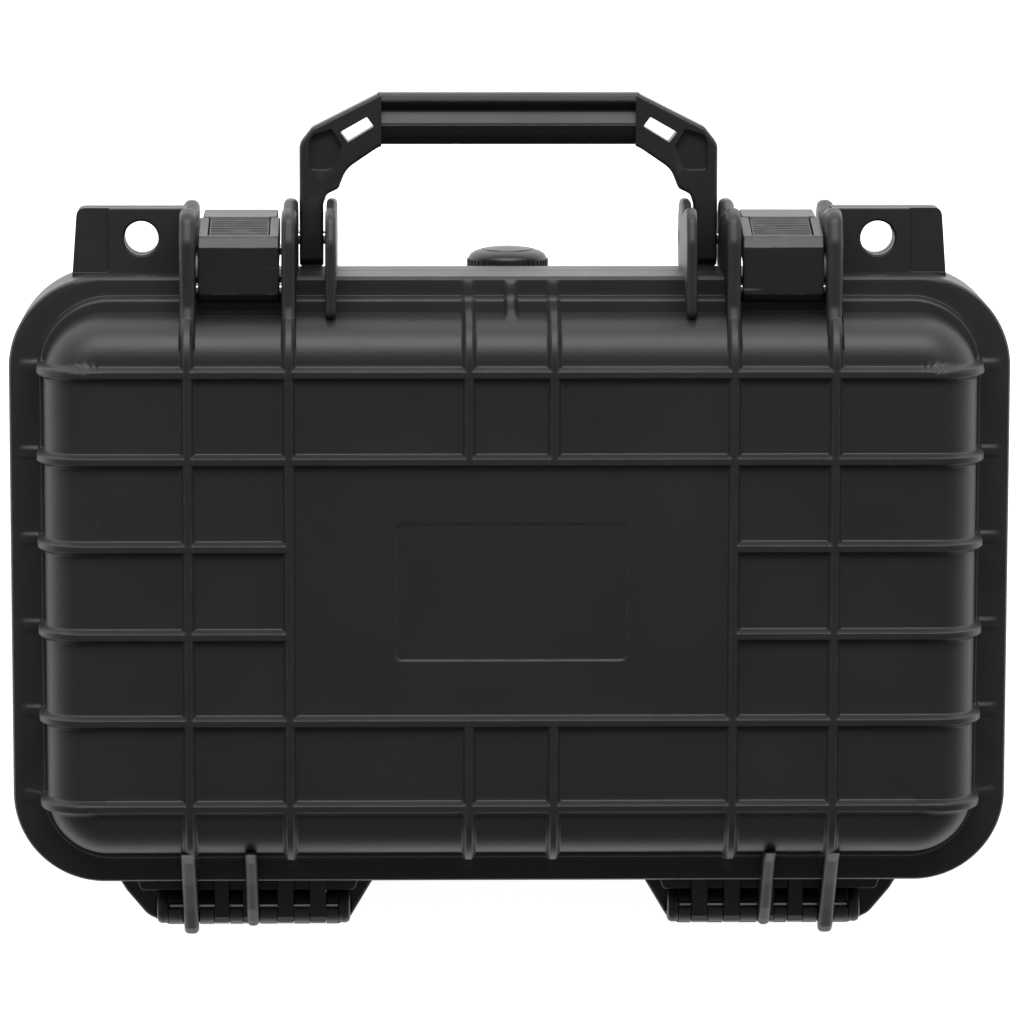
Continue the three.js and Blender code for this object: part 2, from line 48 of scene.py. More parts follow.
def makeCamera():
    lean = math.radians(cameraSetup["leanToHandle"])
    side = math.radians(cameraSetup["leanToSide"])
    back = Vector((math.tan(side), -math.tan(lean), 1.0)).normalized()
    upright = Vector((0.0, -1.0, 0.0)).cross(back).normalized()
    level = Vector((-1.0, 0.0, 0.0)) + back * back.x
    right = (upright + level.normalized()).normalized()
    up = back.cross(right)
    camera = bpy.data.objects.new("camera", bpy.data.cameras.new("camera"))
    camera.data.lens = cameraSetup["lens"]
    camera.data.clip_end = 20.0
    place = Vector(cameraSetup["aim"]) * mm + back * cameraSetup["distance"] * mm
    turn = Matrix((right, up, back)).transposed().to_4x4()
    camera.matrix_world = Matrix.Translation(place) @ turn
    bpy.context.scene.collection.objects.link(camera)
    bpy.context.scene.camera = camera


makeCamera()
print("camera ready")


# materials: the effects that several finishes share are node groups

def startGroup(name, inputs, outputs):
    tree = bpy.data.node_groups.new(name, "ShaderNodeTree")
    for label, kind, value in inputs:
        socket = tree.interface.new_socket(name=label, in_out="INPUT", socket_type=kind)
        if value is not None:
            socket.default_value = value
    for label, kind in outputs:
        tree.interface.new_socket(name=label, in_out="OUTPUT", socket_type=kind)
    return tree, tree.nodes.new("NodeGroupInput"), tree.nodes.new("NodeGroupOutput")


def addNode(tree, kind, inputs=None, **settings):
    node = tree.nodes.new(kind)
    for key, value in settings.items():
        setattr(node, key, value)
    for key, value in (inputs or {}).items():
        if isinstance(value, bpy.types.NodeSocket):
            tree.links.new(value, node.inputs[key])
        else:
            node.inputs[key].default_value = value
    return node


def mathNode(tree, operation, first, second=0.0, third=0.0, clamp=False):
    inputs = {0: first, 1: second, 2: third}
    return addNode(tree, "ShaderNodeMath", inputs, operation=operation, use_clamp=clamp).outputs[0]


def rampBetween(tree, value, low, high):
    limits = {"Value": value, "From Min": low, "From Max": high}
    return addNode(tree, "ShaderNodeMapRange", limits, interpolation_type="SMOOTHSTEP").outputs[0]


def buildGrainGroup():
    tree, start, end = startGroup(
        "mouldedGrain",
        [("Coordinates", "NodeSocketVector", None), ("Grain Size", "NodeSocketFloat", 0.5),
         ("Wave Size", "NodeSocketFloat", 40.0)],
        [("Height", "NodeSocketFloat"), ("Mottle", "NodeSocketFloat")],
    )
    scale = mathNode(tree, "DIVIDE", 1000.0, start.outputs["Grain Size"])
    wide = mathNode(tree, "DIVIDE", 1000.0, start.outputs["Wave Size"])
    place = start.outputs["Coordinates"]
    pits = addNode(tree, "ShaderNodeTexNoise", {"Vector": place, "Scale": scale, "Detail": 3.0,
                                                "Roughness": 0.6})
    cells = addNode(tree, "ShaderNodeTexVoronoi", {"Vector": place, "Scale": scale, "Randomness": 1.0})
    sink = addNode(tree, "ShaderNodeTexNoise", {"Vector": place, "Scale": wide, "Detail": 2.0})
    leather = mathNode(tree, "MULTIPLY_ADD", cells.outputs["Distance"], 0.5, pits.outputs["Fac"])
    tree.links.new(mathNode(tree, "MULTIPLY_ADD", sink.outputs["Fac"], 0.6, leather), end.inputs["Height"])
    tree.links.new(sink.outputs["Fac"], end.inputs["Mottle"])
    return tree


def buildWearGroup():
    tree, start, end = startGroup(
        "edgeWear",
        [("Coordinates", "NodeSocketVector", None), ("Edge", "NodeSocketFloat", 0.0),
         ("Amount", "NodeSocketFloat", 0.5)],
        [("Mask", "NodeSocketFloat")],
    )
    patches = addNode(tree, "ShaderNodeTexNoise", {
        "Vector": start.outputs["Coordinates"], "Scale": 140.0, "Detail": 5.0, "Roughness": 0.65})
    broken = rampBetween(tree, patches.outputs["Fac"], 0.42, 0.7)
    worn = mathNode(tree, "MULTIPLY", start.outputs["Edge"], broken)
    tree.links.new(mathNode(tree, "MULTIPLY", worn, start.outputs["Amount"], clamp=True), end.inputs["Mask"])
    return tree


def buildScuffGroup():
    tree, start, end = startGroup(
        "scuffs",
        [("Coordinates", "NodeSocketVector", None), ("Scratches", "NodeSocketFloat", 0.4),
         ("Specks", "NodeSocketFloat", 0.4)],
        [("Mask", "NodeSocketFloat")],
    )
    lines = []
    for turn, stretch in ((0.5, (16.0, 260.0, 260.0)), (-0.9, (20.0, 330.0, 330.0))):
        spread = addNode(tree, "ShaderNodeMapping", {
            "Vector": start.outputs["Coordinates"], "Rotation": (0.0, 0.0, turn), "Scale": stretch})
        noise = addNode(tree, "ShaderNodeTexNoise", {"Vector": spread.outputs[0], "Scale": 1.0,
                                                     "Detail": 1.0})
        lines.append(rampBetween(tree, noise.outputs["Fac"], 0.69, 0.74))
    patches = addNode(tree, "ShaderNodeTexNoise", {
        "Vector": start.outputs["Coordinates"], "Scale": 18.0, "Detail": 2.0})
    where = rampBetween(tree, patches.outputs["Fac"], 0.5, 0.62)
    both = mathNode(tree, "MAXIMUM", lines[0], lines[1])
    scratched = mathNode(tree, "MULTIPLY", mathNode(tree, "MULTIPLY", both, where),
                         start.outputs["Scratches"])
    dots = addNode(tree, "ShaderNodeTexVoronoi", {"Vector": start.outputs["Coordinates"], "Scale": 160.0})
    near = rampBetween(tree, dots.outputs["Distance"], 0.09, 0.05)
    chosen = addNode(tree, "ShaderNodeSeparateColor", {"Color": dots.outputs["Color"]})
    rare = rampBetween(tree, chosen.outputs[0], 0.93, 0.95)
    speck = mathNode(tree, "MULTIPLY", mathNode(tree, "MULTIPLY", near, rare), start.outputs["Specks"])
    tree.links.new(mathNode(tree, "MAXIMUM", scratched, speck), end.inputs["Mask"])
    return tree


grainGroup = buildGrainGroup()
wearGroup = buildWearGroup()
scuffGroup = buildScuffGroup()


def placeGroup(tree, group, inputs):
    node = tree.nodes.new("ShaderNodeGroup")
    node.node_tree = group
    for key, value in inputs.items():
        if isinstance(value, bpy.types.NodeSocket):
            tree.links.new(value, node.inputs[key])
        else:
            node.inputs[key].default_value = value
    return node


def startMaterial(name):
    material = bpy.data.materials.new(name)
    material.use_nodes = True
    tree = material.node_tree
    shader = tree.nodes["Principled BSDF"]
    place = tree.nodes.new("ShaderNodeTexCoord").outputs["Object"]
    edge = addNode(tree, "ShaderNodeAttribute", attribute_name="edgeCurve").outputs["Fac"]
    return material, tree, shader, place, edge


def mixColors(tree, mask, first, second):
    node = addNode(tree, "ShaderNodeMix", {"Factor": mask}, data_type="RGBA")
    for socket, value in ((node.inputs[6], first), (node.inputs[7], second)):
        if isinstance(value, bpy.types.NodeSocket):
            tree.links.new(value, socket)
        else:
            socket.default_value = (*value, 1.0)
    return node.outputs[2]


# black mouldings, tray and rubber differ only in these
plasticFinishes = {
    "shellPlastic": {"color": (0.0135, 0.014, 0.0155), "worn": (0.05, 0.051, 0.054), "roughness": 0.46,
                     "specular": 0.5, "grainSize": 0.42, "grainDepth": 0.045, "wear": 0.3, "scratches": 0.0,
                     "specks": 0.35},
    "latchPlastic": {"color": (0.0115, 0.012, 0.0135), "worn": (0.1, 0.1, 0.102), "roughness": 0.4,
                     "specular": 0.5, "grainSize": 0.3, "grainDepth": 0.022, "wear": 0.5, "scratches": 0.8,
                     "specks": 0.5},
    "handlePlastic": {"color": (0.0125, 0.013, 0.0145), "worn": (0.06, 0.06, 0.062), "roughness": 0.43,
                      "specular": 0.5, "grainSize": 0.36, "grainDepth": 0.03, "wear": 0.4, "scratches": 0.2,
                      "specks": 0.2},
    "valvePlastic": {"color": (0.011, 0.0115, 0.012), "worn": (0.07, 0.07, 0.07), "roughness": 0.38,
                     "specular": 0.5, "grainSize": 0.3, "grainDepth": 0.012, "wear": 0.4, "scratches": 0.1,
                     "specks": 0.1},
    "trayPlastic": {"color": (0.03, 0.0315, 0.035), "worn": (0.08, 0.08, 0.085), "roughness": 0.5,
                    "specular": 0.5, "grainSize": 0.5, "grainDepth": 0.04, "wear": 0.3, "scratches": 0.4,
                    "specks": 0.3},
    "sealRubber": {"color": (0.018, 0.018, 0.018), "worn": (0.04, 0.04, 0.04), "roughness": 0.72,
                   "specular": 0.35, "grainSize": 0.25, "grainDepth": 0.02, "wear": 0.2, "scratches": 0.0,
                   "specks": 0.4},
    "ventMembrane": {"color": (0.62, 0.62, 0.6), "worn": (0.5, 0.5, 0.48), "roughness": 0.85,
                     "specular": 0.3, "grainSize": 0.12, "grainDepth": 0.03, "wear": 0.2, "scratches": 0.0,
                     "specks": 0.0},
}


def makePlastic(name, look):
    material, tree, shader, place, edge = startMaterial(name)
    grain = placeGroup(tree, grainGroup, {"Coordinates": place, "Grain Size": look["grainSize"]})
    wear = placeGroup(tree, wearGroup, {"Coordinates": place, "Edge": edge, "Amount": look["wear"]})
    marks = placeGroup(tree, scuffGroup, {
        "Coordinates": place, "Scratches": look["scratches"], "Specks": look["specks"]})
    darker = tuple(value * 0.86 for value in look["color"])
    lighter = tuple(value * 1.12 for value in look["color"])
    tone = mixColors(tree, grain.outputs["Mottle"], darker, lighter)
    mask = mathNode(tree, "MAXIMUM", wear.outputs["Mask"], marks.outputs["Mask"])
    tree.links.new(mixColors(tree, mask, tone, look["worn"]), shader.inputs["Base Color"])
    uneven = mathNode(tree, "MULTIPLY_ADD", grain.outputs["Mottle"], 0.12, look["roughness"] - 0.06)
    tree.links.new(mathNode(tree, "MULTIPLY_ADD", mask, 0.12, uneven), shader.inputs["Roughness"])
    bump = addNode(tree, "ShaderNodeBump", {
        "Height": grain.outputs["Height"], "Strength": 0.55, "Distance": look["grainDepth"] * mm})
    tree.links.new(bump.outputs[0], shader.inputs["Normal"])
    shader.inputs["Specular IOR Level"].default_value = look["specular"]
    return material


steelFinishes = {
    "pinSteel": {"color": (0.72, 0.72, 0.73), "roughness": 0.16, "lines": 900.0, "tarnish": 0.25},
    "springSteel": {"color": (0.5, 0.5, 0.5), "roughness": 0.3, "lines": 500.0, "tarnish": 0.4},
}


def makeSteel(name, look):
    material, tree, shader, place, _ = startMaterial(name)
    stretch = addNode(tree, "ShaderNodeMapping", {"Vector": place, "Scale": (look["lines"], 60.0, 60.0)})
    lines = addNode(tree, "ShaderNodeTexNoise", {"Vector": stretch.outputs[0], "Scale": 1.0, "Detail": 2.0})
    blotch = addNode(tree, "ShaderNodeTexNoise", {"Vector": place, "Scale": 220.0, "Detail": 4.0})
    dull = rampBetween(tree, blotch.outputs["Fac"], 0.5, 0.75)
    tarnished = mathNode(tree, "MULTIPLY", dull, look["tarnish"])
    grey = tuple(value * 0.55 for value in look["color"])
    tree.links.new(mixColors(tree, tarnished, look["color"], grey), shader.inputs["Base Color"])
    rough = mathNode(tree, "MULTIPLY_ADD", lines.outputs["Fac"], 0.14, look["roughness"] - 0.05)
    tree.links.new(mathNode(tree, "ADD", rough, tarnished), shader.inputs["Roughness"])
    bump = addNode(tree, "ShaderNodeBump", {
        "Height": lines.outputs["Fac"], "Strength": 0.3, "Distance": 0.01 * mm})
    tree.links.new(bump.outputs[0], shader.inputs["Normal"])
    shader.inputs["Metallic"].default_value = 1.0
    return material


finishes = {name: makePlastic(name, look) for name, look in plasticFinishes.items()}
finishes.update({name: makeSteel(name, look) for name, look in steelFinishes.items()})
print("materials ready")


# mesh tools: all lengths are millimetres until a piece's mesh is finished

def meshFrom(name, points, faces):
    build = bmesh.new()
    corners = [build.verts.new(point) for point in points]
    for face in faces:
        ring = list(dict.fromkeys(face))
        if len(ring) > 2:
            build.faces.new([corners[index] for index in ring])
    return closeMesh(name, build)


def closeMesh(name, build):
    bmesh.ops.remove_doubles(build, verts=build.verts, dist=0.002)
    bmesh.ops.dissolve_degenerate(build, edges=build.edges, dist=0.001)
    bmesh.ops.recalc_face_normals(build, faces=build.faces)
    mesh = bpy.data.meshes.new(name)
    build.to_mesh(mesh)
    build.free()
    piece = bpy.data.objects.new(name, mesh)
    bpy.context.scene.collection.objects.link(piece)
    return piece


def bakeModifiers(piece):
    shown = piece.evaluated_get(bpy.context.evaluated_depsgraph_get())
    mesh = bpy.data.meshes.new_from_object(shown)
    old = piece.data
    piece.modifiers.clear()
    piece.data = mesh
    bpy.data.meshes.remove(old)


def dropPiece(piece):
    mesh = piece.data
    bpy.data.objects.remove(piece)
    bpy.data.meshes.remove(mesh)


def combine(target, tool, operation="UNION"):
    cut = target.modifiers.new("combine", "BOOLEAN")
    cut.operation = operation
    cut.solver = "MANIFOLD"
    cut.object = tool
    before = len(target.data.vertices)
    bakeModifiers(target)
    if len(target.data.vertices) == before:
        print("nothing changed when combining", target.name, "with", tool.name)
    dropPiece(tool)
    return target


def gather(name, parts):
    build = bmesh.new()
    for part in parts:
        build.from_mesh(part.data)
    for part in parts:
        dropPiece(part)
    mesh = bpy.data.meshes.new(name)
    build.to_mesh(mesh)
    build.free()
    piece = bpy.data.objects.new(name, mesh)
    bpy.context.scene.collection.objects.link(piece)
    return piece


def roundOutline(corners, steps=5):  # each corner is (u, v, radius)
    outline = []
    count = len(corners)
    for index, (u, v, radius) in enumerate(corners):
        here = Vector((u, v))
        toBefore = Vector(corners[index - 1][:2]) - here
        toAfter = Vector(corners[(index + 1) % count][:2]) - here
        reach = radius / math.tan(max(toBefore.angle(toAfter), 0.05) / 2)
        reach = min(reach, 0.48 * toBefore.length, 0.48 * toAfter.length)
        if reach < 0.02:
            outline.append(here)
            continue
        first = here + toBefore.normalized() * reach
        last = here + toAfter.normalized() * reach
        for step in range(steps + 1):
            share = step / steps
            outline.append((1 - share) ** 2 * first + 2 * share * (1 - share) * here + share ** 2 * last)
    return outline


def insetOutline(outline, amount, flat=None):  # flat is a v that keeps its height
    count = len(outline)
    moved = []
    for index, here in enumerate(outline):
        into = (here - outline[index - 1]).normalized()
        out = (outline[(index + 1) % count] - here).normalized()
        left = Vector((-into.y, into.x))
        bisector = left + Vector((-out.y, out.x))
        bisector = bisector.normalized() if bisector.length > 1e-6 else left
        point = here + bisector * (amount / max(bisector.dot(left), 0.4))
        if flat is not None and abs(here.y - flat) < 0.01:
            point.y = flat
        moved.append(point)
    return moved


def windLeft(outline):
    count = len(outline)
    area = sum(outline[i].cross(outline[(i + 1) % count]) for i in range(count))
    return outline if area > 0 else outline[::-1]


placeAlong = {
    "X": lambda u, v, w: (w, u, v),
    "Y": lambda u, v, w: (u, w, v),
    "Z": lambda u, v, w: (u, v, w),
}


def makePlate(name, corners, low, high, edge=0.5, axis="Z", flat=None, edgeSteps=3, steps=5):
    outline = windLeft(roundOutline(corners, steps))
    levels = []
    for step in range(edgeSteps + 1):
        angle = step / edgeSteps * math.pi / 2
        levels.append((low + edge * (1 - math.cos(angle)), edge * (1 - math.sin(angle))))
    levels += [(low + high - place, inset) for place, inset in reversed(levels)]
    place = placeAlong[axis]
    points = []
    for along, inset in levels:
        points += [place(spot.x, spot.y, along) for spot in insetOutline(outline, inset, flat)]
    return meshFrom(name, points, wallFaces(len(levels), len(outline)))


def wallFaces(rows, around, caps=True, looped=False):
    faces = []
    for row in range(rows if looped else rows - 1):
        for side in range(around):
            nextSide = (side + 1) % around
            nextRow = (row + 1) % rows
            faces.append((row * around + side, row * around + nextSide,
                          nextRow * around + nextSide, nextRow * around + side))
    if caps and not looped:
        faces.append(tuple(range(around)))
        faces.append(tuple(range((rows - 1) * around, rows * around)))
    return faces


def makeTurned(name, profile, centre, axis="X", segments=48, looped=False):  # profile is (radius, height)
    points = []
    place = placeAlong[axis]
    for radius, height in profile:
        for step in range(segments):
            angle = 2 * math.pi * step / segments
            spot = Vector(place(radius * math.cos(angle), radius * math.sin(angle), height))
            points.append(spot + Vector(centre))
    return meshFrom(name, points, wallFaces(len(profile), segments, not looped, looped))


def makeRod(name, start, end, y, z, radius, segments=40):
    return makeTurned(name, [(radius, start), (radius, end)], (0, y, z), "X", segments)


def makeBlock(name, x, y, z, edge=0.4):
    corners = [(x[0], y[0], edge), (x[1], y[0], edge), (x[1], y[1], edge), (x[0], y[1], edge)]
    return makePlate(name, corners, z[0], z[1], edge, steps=3)


def between(side, near, far):
    return (near, far) if side > 0 else (-far, -near)


def finishPiece(piece, body, finish, nodes, sharpAngle=38.0):
    build = bmesh.new()
    build.from_mesh(piece.data)
    bmesh.ops.remove_doubles(build, verts=build.verts, dist=0.0015)
    layer = build.verts.layers.float.new("edgeCurve")
    for vert in build.verts:
        vert[layer] = 0.0
    for link in build.edges:
        if len(link.link_faces) != 2:
            continue
        bend = link.calc_face_angle_signed(0.0)
        if bend <= 0.02:
            continue
        first, second = (face.calc_center_median() for face in link.link_faces)
        curve = min(bend / max((first - second).length, 0.05), 2.0)
        amount = min(max((curve - 0.12) / 0.6, 0.0), 1.0)
        for vert in link.verts:
            vert[layer] = max(vert[layer], amount)
    bmesh.ops.scale(build, vec=(mm, mm, mm), verts=build.verts)
    build.to_mesh(piece.data)
    build.free()
    piece.data.shade_smooth()
    piece.data.set_sharp_from_angle(angle=math.radians(sharpAngle))
    tidy = piece.modifiers.new("normals", "WEIGHTED_NORMAL")
    tidy.keep_sharp = True
    bakeModifiers(piece)
    piece.data.materials.clear()
    piece.data.materials.append(finishes[finish])
    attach(piece, body)
    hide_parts(*nodes)
    return piece


# Geometry Nodes trees

def startGeometryTree(name, inputs):
    tree = bpy.data.node_groups.new(name, "GeometryNodeTree")
    tree.interface.new_socket(name="Geometry", in_out="INPUT", socket_type="NodeSocketGeometry")
    for label, kind in inputs:
        tree.interface.new_socket(name=label, in_out="INPUT", socket_type=kind)
    tree.interface.new_socket(name="Geometry", in_out="OUTPUT", socket_type="NodeSocketGeometry")
    return tree, tree.nodes.new("NodeGroupInput"), tree.nodes.new("NodeGroupOutput")


def endGeometryTree(tree, start, end, geometry):
    whole = addNode(tree, "GeometryNodeRealizeInstances", {0: geometry})
    painted = addNode(tree, "GeometryNodeSetMaterial", {
        "Geometry": whole.outputs[0], "Material": start.outputs["Material"]})
    tree.links.new(painted.outputs[0], end.inputs[0])


def useTree(piece, tree, values):
    modifier = piece.modifiers.new(tree.name, "NODES")
    modifier.node_group = tree
    for item in tree.interface.items_tree:
        if item.in_out == "INPUT" and item.name in values:
            modifier[item.identifier] = values[item.name]
    bakeModifiers(piece)
    return piece


ribLook = {"Rib Height": 2.5, "Crest Half Width": 0.9, "Foot Half Width": 2.9, "Outer Cross Rib": 112.0,
           "Inner Cross Rib": 77.0, "Middle Cross Rib": 14.75, "Outer Long Rib": 76.2,
           "Middle Long Rib": 45.9, "Inner Long Rib": 15.4}


def buildRibTree():  # raises the rib grid out of a shell, along each point's own outward direction
    labels = [*ribLook, "Front Limit", "Front Gusset"]
    sockets = [(label, "NodeSocketFloat") for label in labels]
    tree, start, end = startGeometryTree("mouldedRibs", [*sockets, ("Material", "NodeSocketMaterial")])
    spot = addNode(tree, "GeometryNodeInputPosition").outputs[0]
    split = addNode(tree, "ShaderNodeSeparateXYZ", {0: spot})
    xRaw, yRaw = split.outputs[0], split.outputs[1]
    x = mathNode(tree, "ABSOLUTE", xRaw)
    y = mathNode(tree, "ABSOLUTE", yRaw)

    def crest(across, label):
        place = start.outputs[label] if isinstance(label, str) else label
        offset = mathNode(tree, "ABSOLUTE", mathNode(tree, "SUBTRACT", across, place))
        return rampBetween(tree, offset, start.outputs["Foot Half Width"], start.outputs["Crest Half Width"])

    def beyond(value, limit):
        return rampBetween(tree, value, mathNode(tree, "SUBTRACT", limit, 0.5), limit)

    middle = mathNode(tree, "MULTIPLY", crest(x, "Middle Cross Rib"),
                      beyond(y, start.outputs["Middle Long Rib"]))
    middle = mathNode(tree, "MULTIPLY", middle, beyond(yRaw, start.outputs["Front Limit"]))
    inner = mathNode(tree, "MULTIPLY", crest(y, "Inner Long Rib"),
                     beyond(x, start.outputs["Inner Cross Rib"]))
    front = mathNode(tree, "MULTIPLY", crest(x, 0.0), rampBetween(tree, yRaw, -93.5, -95.5))
    front = mathNode(tree, "MULTIPLY", front, start.outputs["Front Gusset"])
    ribs = [crest(x, "Outer Cross Rib"), crest(x, "Inner Cross Rib"), middle, crest(y, "Outer Long Rib"),
            crest(y, "Middle Long Rib"), inner, front]
    height = ribs[0]
    for rib in ribs[1:]:
        height = mathNode(tree, "SMOOTH_MAX", height, rib, 0.12)
    gain = addNode(tree, "GeometryNodeInputNamedAttribute", {"Name": "ribGain"}, data_type="FLOAT")
    outward = addNode(tree, "GeometryNodeInputNamedAttribute", {"Name": "outward"}, data_type="FLOAT_VECTOR")
    height = mathNode(tree, "MULTIPLY", height, start.outputs["Rib Height"])
    height = mathNode(tree, "MULTIPLY", height, gain.outputs[0])
    shift = addNode(tree, "ShaderNodeVectorMath", {0: outward.outputs[0]}, operation="SCALE")
    tree.links.new(height, shift.inputs["Scale"])
    moved = addNode(tree, "GeometryNodeSetPosition", {"Geometry": start.outputs[0],
                                                      "Offset": shift.outputs[0]})
    endGeometryTree(tree, start, end, moved.outputs[0])
    return tree


def buildRidgeTree():  # a row of half-sunk bars from one point to another
    tree, start, end = startGeometryTree("gripRidges", [
        ("Count", "NodeSocketInt"), ("Bar Length", "NodeSocketFloat"), ("Bar Radius", "NodeSocketFloat"),
        ("First", "NodeSocketVector"), ("Last", "NodeSocketVector"), ("Material", "NodeSocketMaterial")])
    bar = addNode(tree, "GeometryNodeMeshCylinder", {
        "Vertices": 16, "Radius": start.outputs["Bar Radius"], "Depth": start.outputs["Bar Length"]})
    lying = addNode(tree, "GeometryNodeTransform", {
        "Geometry": bar.outputs["Mesh"], "Rotation": (0.0, math.pi / 2, 0.0)})
    line = addNode(tree, "GeometryNodeMeshLine", {
        "Count": start.outputs["Count"], "Start Location": start.outputs["First"],
        "Offset": start.outputs["Last"]}, mode="END_POINTS")
    row = addNode(tree, "GeometryNodeInstanceOnPoints",
                  {"Points": line.outputs[0], "Instance": lying.outputs[0]})
    endGeometryTree(tree, start, end, row.outputs[0])
    return tree


def buildToothTree():  # small bars set round a circle about Y
    tree, start, end = startGeometryTree("knurledRim", [("Teeth", "NodeSocketInt"),
                                                        ("Circle Radius", "NodeSocketFloat"),
                                                        ("Tooth Radius", "NodeSocketFloat"),
                                                        ("Tooth Length", "NodeSocketFloat"),
                                                        ("Centre", "NodeSocketVector"),
                                                        ("Material", "NodeSocketMaterial")])
    circle = addNode(tree, "GeometryNodeMeshCircle", {
        "Vertices": start.outputs["Teeth"], "Radius": start.outputs["Circle Radius"]})
    tooth = addNode(tree, "GeometryNodeMeshCylinder", {
        "Vertices": 10, "Radius": start.outputs["Tooth Radius"], "Depth": start.outputs["Tooth Length"]})
    ring = addNode(tree, "GeometryNodeInstanceOnPoints",
                   {"Points": circle.outputs[0], "Instance": tooth.outputs[0]})
    stood = addNode(tree, "GeometryNodeTransform", {
        "Geometry": ring.outputs[0], "Rotation": (math.pi / 2, 0.0, 0.0),
        "Translation": start.outputs["Centre"]})
    endGeometryTree(tree, start, end, stood.outputs[0])
    return tree


ribTree = buildRibTree()
ridgeTree = buildRidgeTree()
toothTree = buildToothTree()


def emptyPiece(name):
    piece = bpy.data.objects.new(name, bpy.data.meshes.new(name))
    bpy.context.scene.collection.objects.link(piece)
    return piece


# the two shells: one grid over the face, and rings from it down the wall, round the rim and up inside
shellSizes = {"halfX": 175.0, "halfY": 107.5, "bodyCorner": 34.0, "rimCorner": 32.0, "wallInset": 12.9,
              "edge": 14.5, "wall": 3.0, "gridInset": 36.0, "labelX": 40.0, "labelY": 24.0,
              "labelCorner": 2.0, "labelDepth": 0.4, "cornerSteps": 72,
              "ribOffsets": (0.0, 0.55, 0.95, 1.4, 1.9, 2.4, 2.9), "longestCell": 9.0}
lidFaceZ, lidRimZ = 147.5, 104.15
baseFaceZ, baseRimZ = 2.5, 103.85


def gridLines(half, ribPlaces, labelEdge):
    lines = {round(-half, 3), round(half, 3)}
    for rib in ribPlaces:
        lines |= {round(side * rib + way * offset, 3) for side in (-1, 1) for way in (-1, 1)
                  for offset in shellSizes["ribOffsets"]}
    lines |= {round(side * (labelEdge + step), 3) for side in (-1, 1)
              for step in (-2.0, -1.2, -0.6, -0.2, 0.2, 0.6)}
    lines = sorted(line for line in lines if abs(line) <= half)
    filled = [lines[0]]
    for line in lines[1:]:
        pieces = max(1, math.ceil((line - filled[-1]) / shellSizes["longestCell"]))
        first = filled[-1]
        filled += [first + (line - first) * (step + 1) / pieces for step in range(pieces)]
    return filled


def labelSink(x, y):
    size = shellSizes
    away = Vector((max(abs(x) - size["labelX"] + size["labelCorner"], 0.0),
                   max(abs(y) - size["labelY"] + size["labelCorner"], 0.0))).length - size["labelCorner"]
    return -size["labelDepth"] * min(max(0.5 - away / 0.5, 0.0), 1.0)


def ringPoints(level, xs, ys):
    size = shellSizes
    side, front, back = level["inset"]
    halfX = size["halfX"] - side
    low = front - size["halfY"]
    high = size["halfY"] - back
    spots = []
    runs = [
        [((halfX, y), (1, 0)) for y in ys],
        [((x, high), (0, 1)) for x in reversed(xs)],
        [((-halfX, y), (-1, 0)) for y in reversed(ys)],
        [((x, low), (0, -1)) for x in xs],
    ]
    for quarter, run in enumerate(runs):
        spots += run
        signX = 1 if quarter in (0, 3) else -1
        edgeY, inset = (high, back) if quarter in (0, 1) else (low, front)
        corner = max(level["corner"] - (side + inset) / 2, 0.0)
        centre = (signX * (halfX - corner), edgeY - math.copysign(corner, edgeY))
        for step in range(size["cornerSteps"] + 1):
            angle = (quarter + step / size["cornerSteps"]) * math.pi / 2
            way = (math.cos(angle), math.sin(angle))
            spots.append(((centre[0] + corner * way[0], centre[1] + corner * way[1]), way))
    return spots


def shellLevel(z, inset, side, up, gain, corner="bodyCorner"):
    insets = inset if isinstance(inset, tuple) else (inset, inset, inset)  # ends, handle side, hinge side
    return {"z": z, "inset": insets, "side": side, "up": up, "gain": gain, "corner": shellSizes[corner]}


def faceLevels(faceZ, up):
    size = shellSizes
    ribInset = size["halfY"] - ribLook["Outer Long Rib"]
    insets = sorted({ribInset + way * offset for way in (-1, 1)
                     for offset in size["ribOffsets"]})
    levels = [shellLevel(faceZ, size["gridInset"], 0, up, 1.0)]
    levels += [shellLevel(faceZ, inset, 0, up, 1.0) for inset in reversed(insets)]
    steps = 12
    for step in range(steps + 1):
        angle = step / steps * math.pi / 2
        inset = size["wallInset"] + size["edge"] * (1 - math.sin(angle))
        z = faceZ - up * size["edge"] * (1 - math.cos(angle))
        levels.append(shellLevel(z, inset, math.sin(angle), up * math.cos(angle), 1.0 + 0.12 * step / steps))
    return levels


def innerLevels(faceZ, up):
    size = shellSizes
    levels = []
    radius = size["edge"] - size["wall"]
    ceiling = faceZ - up * size["wall"]
    for step in range(7):
        angle = (1 - step / 6) * math.pi / 2
        inset = size["wallInset"] + size["wall"] + radius * (1 - math.sin(angle))
        levels.append(shellLevel(ceiling - up * radius * (1 - math.cos(angle)), inset, 0, up, 0.0))
    levels.append(shellLevel(ceiling, size["gridInset"], 0, up, 0.0))
    return levels


